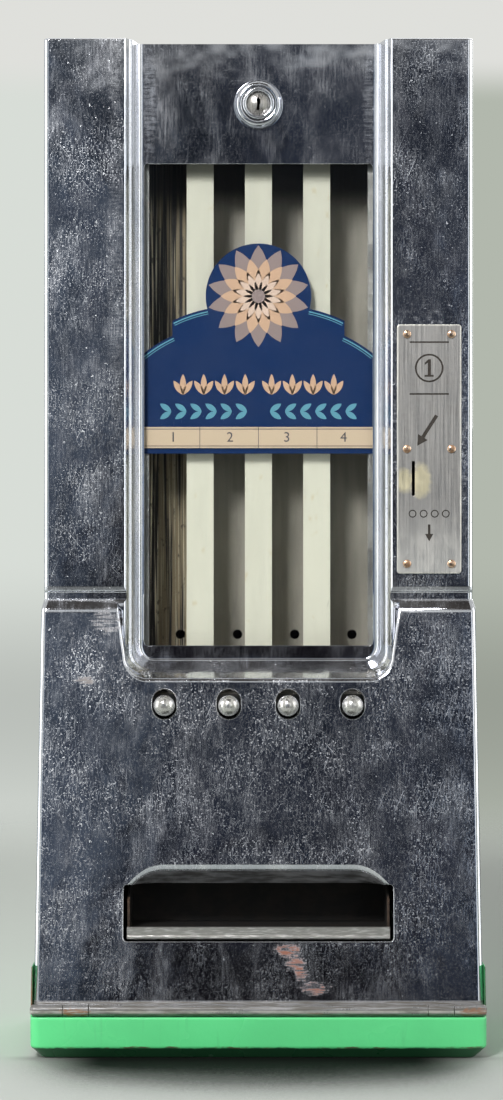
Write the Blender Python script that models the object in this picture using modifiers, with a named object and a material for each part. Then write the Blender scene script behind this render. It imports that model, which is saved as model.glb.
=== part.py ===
"""A counter-top gum vending machine with four columns and four pull knobs.

Metres, +Z up, +X to the right of a person facing the front, +Y into the machine.
The origin is on the ground under the middle of the base.
"""
import math

import bmesh
import bpy
from mathutils import Matrix, Vector

# Overall sizes
HEIGHT = 0.565
DEPTH = 0.150
GAP = 0.0003            # clearance between pieces that touch
OVERRUN = 0.005         # how far a cutter runs past what it cuts
THIN_OVERRUN = 0.001    # the same where something lies close behind
WELD = 0.00001          # points nearer than this are one point

# Base
BASE_WIDTH = 0.250
BASE_HEIGHT = 0.0228
BASE_CHAMFER = 0.0065
BASE_CORNER = 0.006
BASE_EDGE = 0.0008
BASE_WALL = 0.008
BASE_FLOOR = 0.004
LIP_HEIGHT = 0.027      # thin lips at the base's sides that sweep up outside the door
LIP_THICKNESS = 0.0009
LIP_TOP_THICKNESS = 0.0004
LIP_ROOT = 0.006

# Door casting
PILASTER_SETBACK = 0.040    # the pilasters' face behind the base's front
DOOR_RIM = 0.024            # the door's back edge behind the pilasters' face
DOOR_WALL = 0.002
DOOR_CORNER = 0.003
UPPER_INSET = 0.00475       # from the base's side to the pilasters'
SHOULDER_INSET = 0.00325
FOOT_INSET = 0.0015
PILASTER_WIDTH = 0.04125
BODY_TOP = 0.2505           # height of the lower body's shoulder
SHOULDER_STEP = 0.002       # the shoulder in front of the pilasters
SHOULDER_ROUND = 0.0035
GROOVE_HEIGHT = 0.0042      # groove between the lower body and the pilasters
GROOVE_DEPTH = 0.0015
PILASTER_BEVEL = 0.0030
TOP_ROUND = 0.0012
FACE_FOOT = 0.030           # height of the sloping face's foot
FOOT_LEDGE = 0.0008
FOOT_CLEARANCE = 0.0005     # door's lowest edge above the base

# Hinge along the door's foot
BEAD_RADIUS = 0.0032
BEAD_SETBACK = 0.004
BEAD_BORE = 0.0016
BEAD_END = 0.0015
BEAD_INNER_END = 0.0005
KNUCKLE_INSET = 0.025
KNUCKLE_LENGTH = 0.014
ROD_SHORTER = 0.0010

# Recess of the middle panel, narrower and higher the deeper it is cut
RECESS_DEPTH = 0.020
RECESS_FRONT_IN = 0.0041    # from the pilaster's edge
RECESS_BACK_IN = 0.0135
RECESS_SILL_FRONT = 0.2042
RECESS_SILL_BACK = 0.2160
RECESS_CORNER_FRONT = 0.0135
RECESS_CORNER_BACK = 0.0090
RECESS_ROLL = 0.0020        # rounded edge at the pilasters' face
RECESS_ROLL_IN = 0.0022
RECESS_COVE = 0.0025        # moulding round the window panel
RECESS_COVE_IN = 0.0020
RECESS_REACH = 0.015        # how far in front of the pilasters the cutter starts

# Window
WINDOW_INSET = 0.0011       # from the recess's back edge
WINDOW_BOTTOM = 0.2240
WINDOW_DROP = 0.0680        # from the door's top
WINDOW_CORNER = 0.0040
GLASS_THICKNESS = 0.0025
GLASS_OVERLAP = 0.0036
RING_WIDTH = 0.0032
CARD_THICKNESS = 0.0006
CARD_OVERLAP = 0.0005       # behind the recess's back edge
CARD_DROP = 0.1640          # from the window's top to the card's foot
CARD_SIDE_HEIGHT = 0.0760
CARD_ARCH_RADIUS = 0.0420
STRIP_INSET = 0.0035
STRIP_RISE = 0.0031
STRIP_HEIGHT = 0.0120
STRIP_THICKNESS = 0.0005
CLIP_WIDTH = 0.0090
CLIP_THICKNESS = 0.0010

# Lock
LOCK_DROP = 0.0345
COLLAR_RADIUS = 0.0140
COLLAR_TOP_RADIUS = 0.0106
COLLAR_HEIGHT = 0.0062
COLLAR_EDGE = 0.0012
BARREL_RADIUS = 0.0092
BARREL_FRONT = 0.0076
BARREL_BACK = 0.0138
BARREL_ROUND = 0.0012
PLUG_RADIUS = 0.0064
PLUG_FRONT = 0.0066
PLUG_DISH = 0.0012
PLUG_RIM = 0.0008
KEYWAY_WIDTH = 0.0020
KEYWAY_HEIGHT = 0.0080
KEYWAY_DEPTH = 0.0080
LOCK_NUT_RADIUS = 0.0135
LOCK_NUT_HEIGHT = 0.0045
LOCK_NUT_SIDES = 6
CAM_THICKNESS = 0.0020
CAM_HUB_RADIUS = 0.0070
CAM_REACH = 0.0260
CAM_WIDTH = 0.0100
CAM_SCREW_RADIUS = 0.0020
CAM_SCREW_HEAD_RADIUS = 0.0035
CAM_SCREW_HEAD = 0.0016
CATCH_HALF = 0.0120
CATCH_DROP = 0.0180
CATCH_THICKNESS = 0.0015
CATCH_FLANGE = 0.0080
CATCH_TO_CAM = 0.0013

# Coin plate on the right pilaster
COIN_PLATE_OVERLAP = 0.0014     # past the pilaster's inner edge
COIN_PLATE_WIDTH = 0.0359
COIN_PLATE_BOTTOM = 0.2650
COIN_PLATE_HEIGHT = 0.1395
COIN_PLATE_THICKNESS = 0.0012
COIN_PLATE_CORNER = 0.0017
COIN_PLATE_SCREW_INSET = 0.0055
COIN_SLOT_ASIDE = 0.0091        # from the plate's left edge
COIN_SLOT_WIDTH = 0.0018
COIN_SLOT_HEIGHT = 0.0194
COIN_SLOT_CORNER = 0.0006
COIN_SLOT_RISE = 0.0435
COIN_HOLE_EXTRA = 0.0008        # the casting's hole is this much larger all round
SCREW_HEAD_RADIUS = 0.0023
SCREW_HEAD_HEIGHT = 0.0010
SCREW_EDGE_HEIGHT = 0.0004
SCREW_CROWN_SHARES = (0.7, 0.8)     # of the head's radius and height
SCREW_SHANK_RADIUS = 0.0012
SCREW_LENGTH = 0.0050

# Plunger holes, knobs and slides
KNOB_INNER_ASIDE = 0.00015      # inwards of its column's middle
KNOB_OUTER_ASIDE = 0.00245      # outwards of its column's middle
KNOB_Z = 0.1917
KNOB_RADIUS = 0.0056
KNOB_FRONT = 0.0176             # the ball's front ahead of the pilasters' face
KNOB_START = 75                 # degrees where the ball's sides begin, under its pole
STEM_RADIUS = 0.0023
NECK_RADIUS = 0.0030
NECK_LENGTH = 0.0030
HOLE_WIDTH = 0.0130
HOLE_HEIGHT = 0.0160
HOLE_DISH = 0.0018
HOLE_DISH_SHARES = (0.5, 0.33)      # of its depth and width, halfway down the dish
HOLE_RISE = 0.0007              # the hole's middle above the stem's
SLIDE_FRONT = 0.0310            # the slides' front behind the pilasters' face
SLIDE_LENGTH_SHARE = 0.70968     # of the depth between the slides' front and the back
SLIDE_HEIGHT = 0.0100
SLIDE_TOP = 0.1960
SLIDE_SIDE_CLEARANCE = 0.0004
POCKET_FRONT = 0.0050           # the pocket's front behind the slide's front
POCKET_SHORTER = 0.0060         # than the magazine's depth
POCKET_SIDE = 0.0030
NOTCH_END = 0.0050              # from the lock notch to the slide's back
NOTCH_LENGTH_SHARE = 0.2        # of the slide's length
NOTCH_WIDTH = 0.0080
STEM_SOCKET = 0.0040
RAIL_WIDTH = 0.0025
RAIL_HEIGHT = 0.0080

# Magazine: columns behind the window
COLUMNS = 4
MAGAZINE_OVERLAP = 0.0011       # behind the recess's back edge
DIVIDER_THICKNESS = 0.0012
MAGAZINE_FRONT = 0.0330
MAGAZINE_DEPTH_SHARE = 0.41290   # of the same depth as the slides'
MAGAZINE_RISE = 0.0080          # above the window
FLANGE_WIDTH = 0.0154
MAGAZINE_TO_SLIDE = 0.0013
MAGAZINE_BRACKET_LOW = 0.3000
MAGAZINE_BRACKET_DROP = 0.0350
MAGAZINE_BRACKET_WIDTH = 0.0300
FEED_HOLE_RADIUS = 0.0028
FEED_HOLE_Z = 0.2290
FEED_HOLE_ASIDE = 0.0045

# Bed under the slides, spring rod and coin lock
SHEET = 0.0015
BED_TO_FINGER = 0.0055          # from the bed to the middle of the fingers' tips
BED_FRONT = 0.0345
CHEEK_BOTTOM = 0.1680
SPRING_ROD_RADIUS = 0.0015
SPRING_ROD_BACK = 0.0045        # behind the rod to the cabinet's back
SPRING_RADIUS = 0.0030
SPRING_WIRE = 0.0004
SPRING_TURNS = 6
LOCK_SHAFT_RADIUS = 0.0025
LOCK_SHAFT_BEHIND = 0.0040      # behind the slides
LOCK_SHAFT_Z = 0.1760
LOCK_SHAFT_REACH = 0.0093       # past the coin slot
LOCK_SHAFT_END = 0.0020
FINGER_WIDTH = 0.0050
FINGER_HUB_RADIUS = 0.0055
FINGER_TIP_IN = 0.0035          # middle of the finger's tip behind the notch's front
FINGER_TIP_LENGTH = 0.0030
FINGER_TIP_CLEARANCE = 0.0025   # tip below the slide while unlocked
FINGER_ARM_HEIGHT = 0.0040
FINGER_HUB_ANGLE = 120          # the hub's round side, to each side of its back
LEVER_FRONT = 0.0520
LEVER_RISE = 0.0060

# Coin throat, chute and box
COIN_DUCT_WIDTH = 0.0050
COIN_DUCT_GAP = 0.0024
COIN_DUCT_WALL = 0.0014
COIN_DUCT_HEIGHT = 0.0226
THROAT_END = 0.0300
THROAT_DROP = 0.0100
CHUTE_START = 0.0330
CHUTE_TURN = 0.0600
CHUTE_BOTTOM = 0.2000
CHUTE_STEP = 0.0040             # the chute's mouth below the throat's end
CHUTE_BRACKET_Z = (0.2200, 0.2780)
CHUTE_BRACKET_HEIGHT = 0.0120
COIN_BOX_ASIDE = 0.0107         # to the left of the coin slot
COIN_BOX_WIDTH = 0.0390
COIN_BOX_LENGTH = 0.0600
COIN_BOX_INSET = 0.0100         # from the cabinet's back
COIN_BOX_HEIGHT = 0.0660
COIN_BOX_WALL = 0.0012

# Delivery opening, finger scoop and tray
OPENING_INSET = 0.0004          # from the recess's front edge
OPENING_BOTTOM = 0.0626
OPENING_TOP = 0.0934
OPENING_CORNER = 0.0022
SCOOP_RIM_TOP = 0.1047
SCOOP_TOP_IN = 0.0230           # from the opening's side
SCOOP_BOTTOM_IN = 0.0023
SCOOP_DEPTH = 0.0095
SCOOP_CORNER = 0.0040
SCOOP_SPREAD = 0.0011           # how much the cutter widens towards the front
SCOOP_LIP = 0.0006              # how far the scoop's curve runs below the opening's top
SCOOP_SHARES = (-1 / 3, 0, 1 / 3, 2 / 3, 1)     # of its depth, where its sections are
TRAY_CLEARANCE = 0.0020
TRAY_SHEET = 0.0012
TRAY_FLOOR = 0.0680
TRAY_LIP_FRONT = 0.0242         # the lip ahead of the pilasters' face
TRAY_LIP_TOP = 0.0702
TRAY_LIP_WIDTH = 0.0022
TRAY_BEAD_RADIUS = 0.0013
TRAY_BEAD_Z = 0.0648
TRAY_FLOOR_FRONT = 0.0200
TRAY_FLOOR_BACK = 0.0180
TRAY_BACK_TOP_F = 0.0325
TRAY_BACK_TOP = 0.1820
TRAY_SIDE_FRONT = 0.0190
TRAY_SIDE_LOW = 0.0840
TRAY_SIDE_BACK_F = 0.0060
TRAY_SIDE_STEP = 0.0080
SUPPORT_INSET = 0.0175
SUPPORT_HALF = 0.0100
SUPPORT_THICKNESS = 0.0020

# Cabinet behind the door
CABINET_CORNER = 0.0060
CABINET_FLARE_TOP = 0.040
BACK_HOLE_RADIUS = 0.0030
BACK_HOLE_INSET = 0.05025
BACK_HOLE_LOW = 0.1200
BACK_HOLE_DROP = 0.0850
ANGLE_WIDTH = 0.0200
ANGLE_HEIGHT = 0.0220
ANGLE_FOOT = 0.0035
ANGLE_IN = 0.0005

# Curve resolution
ROUND_STEPS = 24
SMALL_STEPS = 16
CORNER_STEPS = 4
RECESS_STEPS = 8
SMOOTH_ANGLE = math.radians(35)

# Finishes: colour, roughness, metallic
CHROME = ((0.62, 0.62, 0.64), 0.16, 1.0)
STEEL = ((0.45, 0.44, 0.42), 0.40, 1.0)
BRASS = ((0.72, 0.52, 0.24), 0.35, 1.0)
GREEN_ENAMEL = ((0.12, 0.66, 0.25), 0.35, 0.0)
CREAM_PAINT = ((0.78, 0.77, 0.66), 0.45, 0.0)
BLUE_CARD = ((0.02, 0.06, 0.20), 0.60, 0.0)
BROWN_METAL = ((0.22, 0.17, 0.11), 0.50, 0.8)
CLEAR_GLASS = ((0.90, 0.95, 0.94), 0.05, 0.0)

# Places worked out from the sizes above
UPPER_WIDTH = BASE_WIDTH - 2 * UPPER_INSET
SHOULDER_WIDTH = BASE_WIDTH - 2 * SHOULDER_INSET
FOOT_WIDTH = BASE_WIDTH - 2 * FOOT_INSET
KNUCKLE_X = BASE_WIDTH / 2 - KNUCKLE_INSET
RECESS_SHOULDER_HALF = UPPER_WIDTH / 2 - PILASTER_WIDTH
RECESS_FRONT_HALF = RECESS_SHOULDER_HALF - RECESS_FRONT_IN
RECESS_BACK_HALF = RECESS_SHOULDER_HALF - RECESS_BACK_IN
WINDOW_HALF = RECESS_BACK_HALF - WINDOW_INSET
WINDOW_TOP = HEIGHT - WINDOW_DROP
CARD_HALF = RECESS_BACK_HALF + CARD_OVERLAP
CARD_BOTTOM = WINDOW_TOP - CARD_DROP
STRIP_HALF = RECESS_BACK_HALF - STRIP_INSET
STRIP_BOTTOM = CARD_BOTTOM + STRIP_RISE
LOCK_Z = HEIGHT - LOCK_DROP
COIN_PLATE_LEFT = RECESS_SHOULDER_HALF - COIN_PLATE_OVERLAP
COIN_SLOT_X = COIN_PLATE_LEFT + COIN_SLOT_ASIDE
COIN_SLOT_BOTTOM = COIN_PLATE_BOTTOM + COIN_SLOT_RISE
OPENING_HALF = RECESS_FRONT_HALF - OPENING_INSET
SCOOP_TOP_HALF = OPENING_HALF - SCOOP_TOP_IN
SCOOP_BOTTOM_HALF = OPENING_HALF - SCOOP_BOTTOM_IN
TRAY_HALF = OPENING_HALF - TRAY_CLEARANCE
SUPPORT_X = TRAY_HALF - SUPPORT_INSET
BACK_HOLE_X = UPPER_WIDTH / 2 - BACK_HOLE_INSET
BACK_HOLE_Z = (BACK_HOLE_LOW, HEIGHT - BACK_HOLE_DROP)
FACE_Y = PILASTER_SETBACK - DEPTH / 2
BACK_F = DEPTH / 2 - FACE_Y
HINGE_Y = BEAD_SETBACK - DEPTH / 2
HINGE_Z = BASE_HEIGHT + GAP + BEAD_RADIUS
FOOT_Z = BASE_HEIGHT + FOOT_CLEARANCE
FOOT_F = HINGE_Y - FACE_Y + BEAD_RADIUS + GAP
FACE_FOOT_F = FOOT_F + FOOT_LEDGE
PANEL_BACK = RECESS_DEPTH + DOOR_WALL
GLASS_FRONT = PANEL_BACK + GAP
GLASS_BACK = GLASS_FRONT + GLASS_THICKNESS
STRIP_FRONT = GLASS_BACK + GAP
CARD_FRONT = STRIP_FRONT + STRIP_THICKNESS + GAP
CLIP_FRONT = CARD_FRONT + CARD_THICKNESS + GAP
RING_BACK = CLIP_FRONT - GAP
CABINET_FRONT = DOOR_RIM + GAP
CABINET_BACK_INNER = BACK_F - SHEET
INNER_DEPTH = CABINET_BACK_INNER - SLIDE_FRONT
MAGAZINE_DEPTH = MAGAZINE_DEPTH_SHARE * INNER_DEPTH
MAGAZINE_BACK = MAGAZINE_FRONT + MAGAZINE_DEPTH
SLIDE_LENGTH = SLIDE_LENGTH_SHARE * INNER_DEPTH
SLIDE_BACK = SLIDE_FRONT + SLIDE_LENGTH
POCKET_LENGTH = MAGAZINE_DEPTH - POCKET_SHORTER
NOTCH_LENGTH = NOTCH_LENGTH_SHARE * SLIDE_LENGTH
NOTCH_FRONT = SLIDE_BACK - NOTCH_END - NOTCH_LENGTH
FINGER_TIP_F = NOTCH_FRONT + FINGER_TIP_IN
BED_BACK = FINGER_TIP_F - BED_TO_FINGER
LOCK_SHAFT_F = SLIDE_BACK + LOCK_SHAFT_BEHIND
MAGAZINE_BOTTOM = SLIDE_TOP + MAGAZINE_TO_SLIDE
MAGAZINE_TOP = WINDOW_TOP + MAGAZINE_RISE
MAGAZINE_BRACKET_Z = (MAGAZINE_BRACKET_LOW, MAGAZINE_TOP - MAGAZINE_BRACKET_DROP)
MAGAZINE_INNER_HALF = RECESS_BACK_HALF + MAGAZINE_OVERLAP
COLUMN_PITCH = 2 * MAGAZINE_INNER_HALF / COLUMNS
COLUMN_X = [(index - (COLUMNS - 1) / 2) * COLUMN_PITCH for index in range(COLUMNS)]
KNOB_ASIDE = (-KNOB_OUTER_ASIDE, KNOB_INNER_ASIDE, -KNOB_INNER_ASIDE, KNOB_OUTER_ASIDE)
KNOB_X = [x + aside for x, aside in zip(COLUMN_X, KNOB_ASIDE)]
SLIDE_BOTTOM = SLIDE_TOP - SLIDE_HEIGHT
BED_TOP = SLIDE_BOTTOM - GAP
CHEEK_TOP = MAGAZINE_BOTTOM - GAP
SPRING_ROD_F = CABINET_BACK_INNER - SPRING_ROD_BACK
LOCK_SHAFT_RIGHT = COIN_SLOT_X + LOCK_SHAFT_REACH
COIN_BOX_LEFT = COIN_SLOT_X - COIN_BOX_ASIDE
COIN_BOX_RIGHT = COIN_BOX_LEFT + COIN_BOX_WIDTH
COIN_BOX_BACK = BACK_F - COIN_BOX_INSET
COIN_BOX_FRONT = COIN_BOX_BACK - COIN_BOX_LENGTH
COIN_PLATE_FRONT = -GAP - COIN_PLATE_THICKNESS
THROAT_FRONT = DOOR_WALL + GAP
THROAT_TOP = COIN_SLOT_BOTTOM + COIN_SLOT_HEIGHT + COIN_DUCT_WALL


def place_y(depth):
    """The Y of a place given as its depth behind the pilasters' face."""
    return FACE_Y + depth


def face_front(height):
    """The depth of the sloping face's outer surface at a height."""
    share = (height - FACE_FOOT) / (BODY_TOP - SHOULDER_ROUND - FACE_FOOT)
    return FACE_FOOT_F + share * (-SHOULDER_STEP - FACE_FOOT_F)


# Shapes

def clear_scene():
    for old in list(bpy.data.objects):
        bpy.data.objects.remove(old, do_unlink=True)


def new_collection(name):
    collection = bpy.data.collections.new(name)
    bpy.context.scene.collection.children.link(collection)
    return collection


clear_scene()
PARTS = new_collection("gum_vending_machine")
CUTTERS = new_collection("cutters")


def add_object(name, bm, location=(0, 0, 0), rotation=(0, 0, 0)):
    """Make an object of a bmesh, in the parts' collection."""
    bmesh.ops.recalc_face_normals(bm, faces=bm.faces)
    mesh = bpy.data.meshes.new(name)
    bm.to_mesh(mesh)
    bm.free()
    piece = bpy.data.objects.new(name, mesh)
    piece.location = location
    piece.rotation_euler = rotation
    PARTS.objects.link(piece)
    return piece


def block(name, low, high):
    """A box between two corners, with its depths behind the pilasters' face."""
    low = Vector((low[0], place_y(low[1]), low[2]))
    high = Vector((high[0], place_y(high[1]), high[2]))
    bm = bmesh.new()
    bmesh.ops.create_cube(bm, size=1)
    bmesh.ops.scale(bm, vec=high - low, verts=bm.verts)
    return add_object(name, bm, (low + high) / 2)


def loft(name, sections):
    """A solid through closed sections of equally many points."""
    bm = bmesh.new()
    rings = [[bm.verts.new(point) for point in section] for section in sections]
    count = len(rings[0])
    for ring, following in zip(rings, rings[1:]):
        for index in range(count):
            after = (index + 1) % count
            bm.faces.new((ring[index], ring[after], following[after], following[index]))
    bm.faces.new(rings[0])
    bm.faces.new(rings[-1])
    return add_object(name, bm)


def take_mesh(piece):
    """Replace an object by a mesh of its evaluated shape, with its caps welded."""
    bpy.context.view_layer.update()
    graph = bpy.context.evaluated_depsgraph_get()
    mesh = bpy.data.meshes.new_from_object(piece.evaluated_get(graph))
    name = piece.name
    location = piece.location.copy()
    rotation = piece.rotation_euler.copy()
    bpy.data.objects.remove(piece, do_unlink=True)
    bm = bmesh.new()
    bm.from_mesh(mesh)
    bpy.data.meshes.remove(mesh)
    bmesh.ops.remove_doubles(bm, verts=bm.verts, dist=WELD)
    return add_object(name, bm, location, rotation)


def prism(name, axis, outline, low, high, holes=()):
    """A flat outline extruded along an axis, between two places on it.

    Along X the outline holds (depth, height), along Y (x, height), along Z (x, depth).
    Depths are counted behind the pilasters' face.
    """
    curve = bpy.data.curves.new(name, "CURVE")
    curve.dimensions = "2D"
    curve.fill_mode = "BOTH"
    curve.extrude = (high - low) / 2
    for points in (outline, *holes):
        spline = curve.splines.new("POLY")
        spline.points.add(len(points) - 1)
        for point, (first, second) in zip(spline.points, points):
            point.co = (first, second, 0, 1)
        spline.use_cyclic_u = True
    piece = bpy.data.objects.new(name, curve)
    middle = (low + high) / 2
    if axis == "X":
        piece.location = (middle, FACE_Y, 0)
        piece.rotation_euler = (math.pi / 2, 0, math.pi / 2)
    elif axis == "Y":
        piece.location = (0, place_y(middle), 0)
        piece.rotation_euler = (math.pi / 2, 0, 0)
    else:
        piece.location = (0, FACE_Y, middle)
    PARTS.objects.link(piece)
    return take_mesh(piece)


def turned(name, profile, place, axis, steps=ROUND_STEPS, closed=False):
    """A profile of (radius, height) points turned about an axis through a place.

    The height runs along +X, towards the front (-Y) or up. The profile runs down the
    outer side.
    """
    bm = bmesh.new()
    points = [bm.verts.new((radius, 0, height)) for radius, height in profile]
    for first, second in zip(points, points[1:]):
        bm.edges.new((first, second))
    if closed:
        bm.edges.new((points[-1], points[0]))
    mesh = bpy.data.meshes.new(name)
    bm.to_mesh(mesh)
    bm.free()
    piece = bpy.data.objects.new(name, mesh)
    piece.location = (place[0], place_y(place[1]), place[2])
    turns = {"X": (0, math.pi / 2, 0), "front": (math.pi / 2, 0, 0), "up": (0, 0, 0)}
    piece.rotation_euler = turns[axis]
    PARTS.objects.link(piece)
    screw = piece.modifiers.new("turn", "SCREW")
    screw.axis = "Z"
    screw.steps = steps
    screw.render_steps = steps
    screw.use_merge_vertices = True
    screw.merge_threshold = WELD
    return take_mesh(piece)


def rod(name, start, length, radius, axis, steps=ROUND_STEPS):
    """A round bar from a place along +X, towards the front or up."""
    bm = bmesh.new()
    bmesh.ops.create_cone(
        bm, cap_ends=True, segments=steps, radius1=radius, radius2=radius, depth=length
    )
    bmesh.ops.translate(bm, vec=(0, 0, length / 2), verts=bm.verts)
    turns = {"X": (0, math.pi / 2, 0), "front": (math.pi / 2, 0, 0), "up": (0, 0, 0)}
    return add_object(name, bm, (start[0], place_y(start[1]), start[2]), turns[axis])


def merged(name, pieces):
    """Several separate solids as one object."""
    bpy.context.view_layer.update()
    bm = bmesh.new()
    for piece in pieces:
        graph = bpy.context.evaluated_depsgraph_get()
        mesh = bpy.data.meshes.new_from_object(piece.evaluated_get(graph))
        mesh.transform(piece.matrix_world)
        bm.from_mesh(mesh)
        bpy.data.meshes.remove(mesh)
        bpy.data.objects.remove(piece, do_unlink=True)
    return add_object(name, bm)


def as_cutter(piece):
    """Move a helper shape into the cutters' collection."""
    if piece.name not in CUTTERS.objects:
        PARTS.objects.unlink(piece)
        CUTTERS.objects.link(piece)
        piece.hide_render = True
        piece.display_type = "WIRE"


def combine(target, helper, operation):
    as_cutter(helper)
    modifier = target.modifiers.new(helper.name, "BOOLEAN")
    modifier.operation = operation
    modifier.solver = "EXACT"
    modifier.object = helper


def cut(target, *helpers):
    for helper in helpers:
        combine(target, helper, "DIFFERENCE")


def fuse(target, *helpers):
    for helper in helpers:
        combine(target, helper, "UNION")


def finish(piece, look):
    """Give a piece its own material and smooth its round sides."""
    colour, roughness, metallic = look
    material = bpy.data.materials.new(piece.name)
    material.use_nodes = True
    shader = material.node_tree.nodes["Principled BSDF"]
    shader.inputs["Base Color"].default_value = (*colour, 1)
    shader.inputs["Roughness"].default_value = roughness
    shader.inputs["Metallic"].default_value = metallic
    piece.data.materials.clear()
    piece.data.materials.append(material)
    piece.data.shade_smooth()
    piece.data.set_sharp_from_angle(angle=SMOOTH_ANGLE)
    return piece


def joint_empty(name, place):
    """An empty on a joint's axis, which carries the pieces that move with it."""
    empty = bpy.data.objects.new(name, None)
    empty.location = (place[0], place_y(place[1]), place[2])
    PARTS.objects.link(empty)
    return empty


def carry(empty, pieces):
    for piece in pieces:
        piece.parent = empty
        piece.matrix_parent_inverse = Matrix.Translation(-empty.location)


def arc(centre, radius, start, end, steps):
    """Points of an arc, with its angles in degrees."""
    points = []
    for index in range(steps + 1):
        angle = math.radians(start + (end - start) * index / steps)
        points.append((centre[0] + radius * math.cos(angle), centre[1] + radius * math.sin(angle)))
    return points


def circle(centre, radius, steps):
    """Points of a full circle, each once."""
    return arc(centre, radius, 0, 360, steps)[:-1]


def rounded_box(half_width, low, high, radius, steps=CORNER_STEPS, middle=0):
    """A rectangle with round corners, about a middle line."""
    left = middle - half_width + radius
    right = middle + half_width - radius
    points = arc((left, low + radius), radius, 180, 270, steps)
    points += arc((right, low + radius), radius, 270, 360, steps)
    points += arc((right, high - radius), radius, 0, 90, steps)
    points += arc((left, high - radius), radius, 90, 180, steps)
    return points


# Base

def make_base():
    half = BASE_WIDTH / 2
    front = -PILASTER_SETBACK
    levels = [
        (0, BASE_CHAMFER),
        (BASE_CHAMFER, 0),
        (BASE_HEIGHT - BASE_EDGE, 0),
        (BASE_HEIGHT, BASE_EDGE),
    ]
    sections = []
    for height, inset in levels:
        outline = rounded_box(half - inset, front + inset, BACK_F - inset, BASE_CORNER)
        sections.append([(x, place_y(depth), height) for x, depth in outline])
    base = loft("base", sections)
    well = block(
        "base_well",
        (-half + BASE_WALL, front + BASE_WALL, BASE_FLOOR),
        (half - BASE_WALL, BACK_F - BASE_WALL, BASE_HEIGHT + OVERRUN),
    )
    cut(base, well)
    for side, name in ((-1, "left"), (1, "right")):
        outer = side * half
        outline = [
            (outer, BASE_HEIGHT - BASE_EDGE / 2),
            (outer, BASE_HEIGHT),
            (outer - side * (LIP_THICKNESS - LIP_TOP_THICKNESS), BASE_HEIGHT + LIP_HEIGHT),
            (outer - side * LIP_THICKNESS, BASE_HEIGHT + LIP_HEIGHT),
            (outer - side * LIP_THICKNESS, BASE_HEIGHT - LIP_ROOT),
        ]
        fuse(base, prism("base_lip_" + name, "Y", outline, FOOT_F, BACK_F - BASE_CORNER))
    return finish(base, GREEN_ENAMEL)


# Door casting

def door_levels(low, high):
    """(height, half width, front depth) up the door's outer side."""
    levels = [
        (low, FOOT_WIDTH / 2, FOOT_F),
        (FACE_FOOT - FOOT_LEDGE, FOOT_WIDTH / 2, FOOT_F),
        (FACE_FOOT, FOOT_WIDTH / 2, FACE_FOOT_F),
    ]
    drop = (SHOULDER_WIDTH - UPPER_WIDTH) / 2
    reach = SHOULDER_STEP + GROOVE_DEPTH
    for index in range(CORNER_STEPS + 1):
        angle = math.pi / 2 * index / CORNER_STEPS
        height = BODY_TOP - SHOULDER_ROUND * (1 - math.sin(angle))
        inset = 1 - math.cos(angle)
        levels.append((height, SHOULDER_WIDTH / 2 - drop * inset, reach * inset - SHOULDER_STEP))
    half = UPPER_WIDTH / 2
    levels.append((BODY_TOP + GROOVE_HEIGHT, half, GROOVE_DEPTH))
    levels.append((BODY_TOP + GROOVE_HEIGHT + PILASTER_BEVEL, half, 0))
    levels.append((high - TOP_ROUND, half, 0))
    levels.append((high, half - TOP_ROUND / 2, TOP_ROUND / 2))
    return levels


def door_sections(inset, back, low, high):
    """Horizontal sections of the door, drawn in by a wall, open at the back."""
    sections = []
    radius = DOOR_CORNER - inset / 2
    for height, half, front in door_levels(low, high):
        half_width = half - inset
        depth = front + inset
        points = [(-half_width, back)]
        points += arc((-half_width + radius, depth + radius), radius, 180, 270, CORNER_STEPS)
        points += arc((half_width - radius, depth + radius), radius, 270, 360, CORNER_STEPS)
        points.append((half_width, back))
        sections.append([(x, place_y(y), height) for x, y in points])
    return sections


def recess_sections(grow):
    """Sections of the recess from front to back, grown by a wall."""
    depth_now = [
        -RECESS_REACH,
        -GAP,
        0,
        RECESS_ROLL,
        RECESS_DEPTH - RECESS_COVE,
        RECESS_DEPTH,
    ]
    full = RECESS_DEPTH + RECESS_REACH
    shoulder = [
        RECESS_SHOULDER_HALF,
        RECESS_SHOULDER_HALF,
        RECESS_FRONT_HALF,
        RECESS_FRONT_HALF - RECESS_ROLL_IN,
        RECESS_BACK_HALF + RECESS_COVE_IN,
        RECESS_BACK_HALF,
    ]
    sections = []
    for depth, upper in zip(depth_now, shoulder):
        share = (depth + RECESS_REACH) / full
        half = min(upper, RECESS_FRONT_HALF) + grow
        sill = RECESS_SILL_FRONT + share * (RECESS_SILL_BACK - RECESS_SILL_FRONT) - grow
        radius = RECESS_CORNER_FRONT + share * (RECESS_CORNER_BACK - RECESS_CORNER_FRONT) + grow
        top = HEIGHT + OVERRUN
        points = [(-upper - grow, top), (-upper - grow, BODY_TOP)]
        points += arc((-half + radius, sill + radius), radius, 180, 270, RECESS_STEPS)
        points += arc((half - radius, sill + radius), radius, 270, 360, RECESS_STEPS)
        points += [(upper + grow, BODY_TOP), (upper + grow, top)]
        at = depth + grow if depth == RECESS_DEPTH else depth
        sections.append([(x, place_y(at), z) for x, z in points])
    return sections


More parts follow.
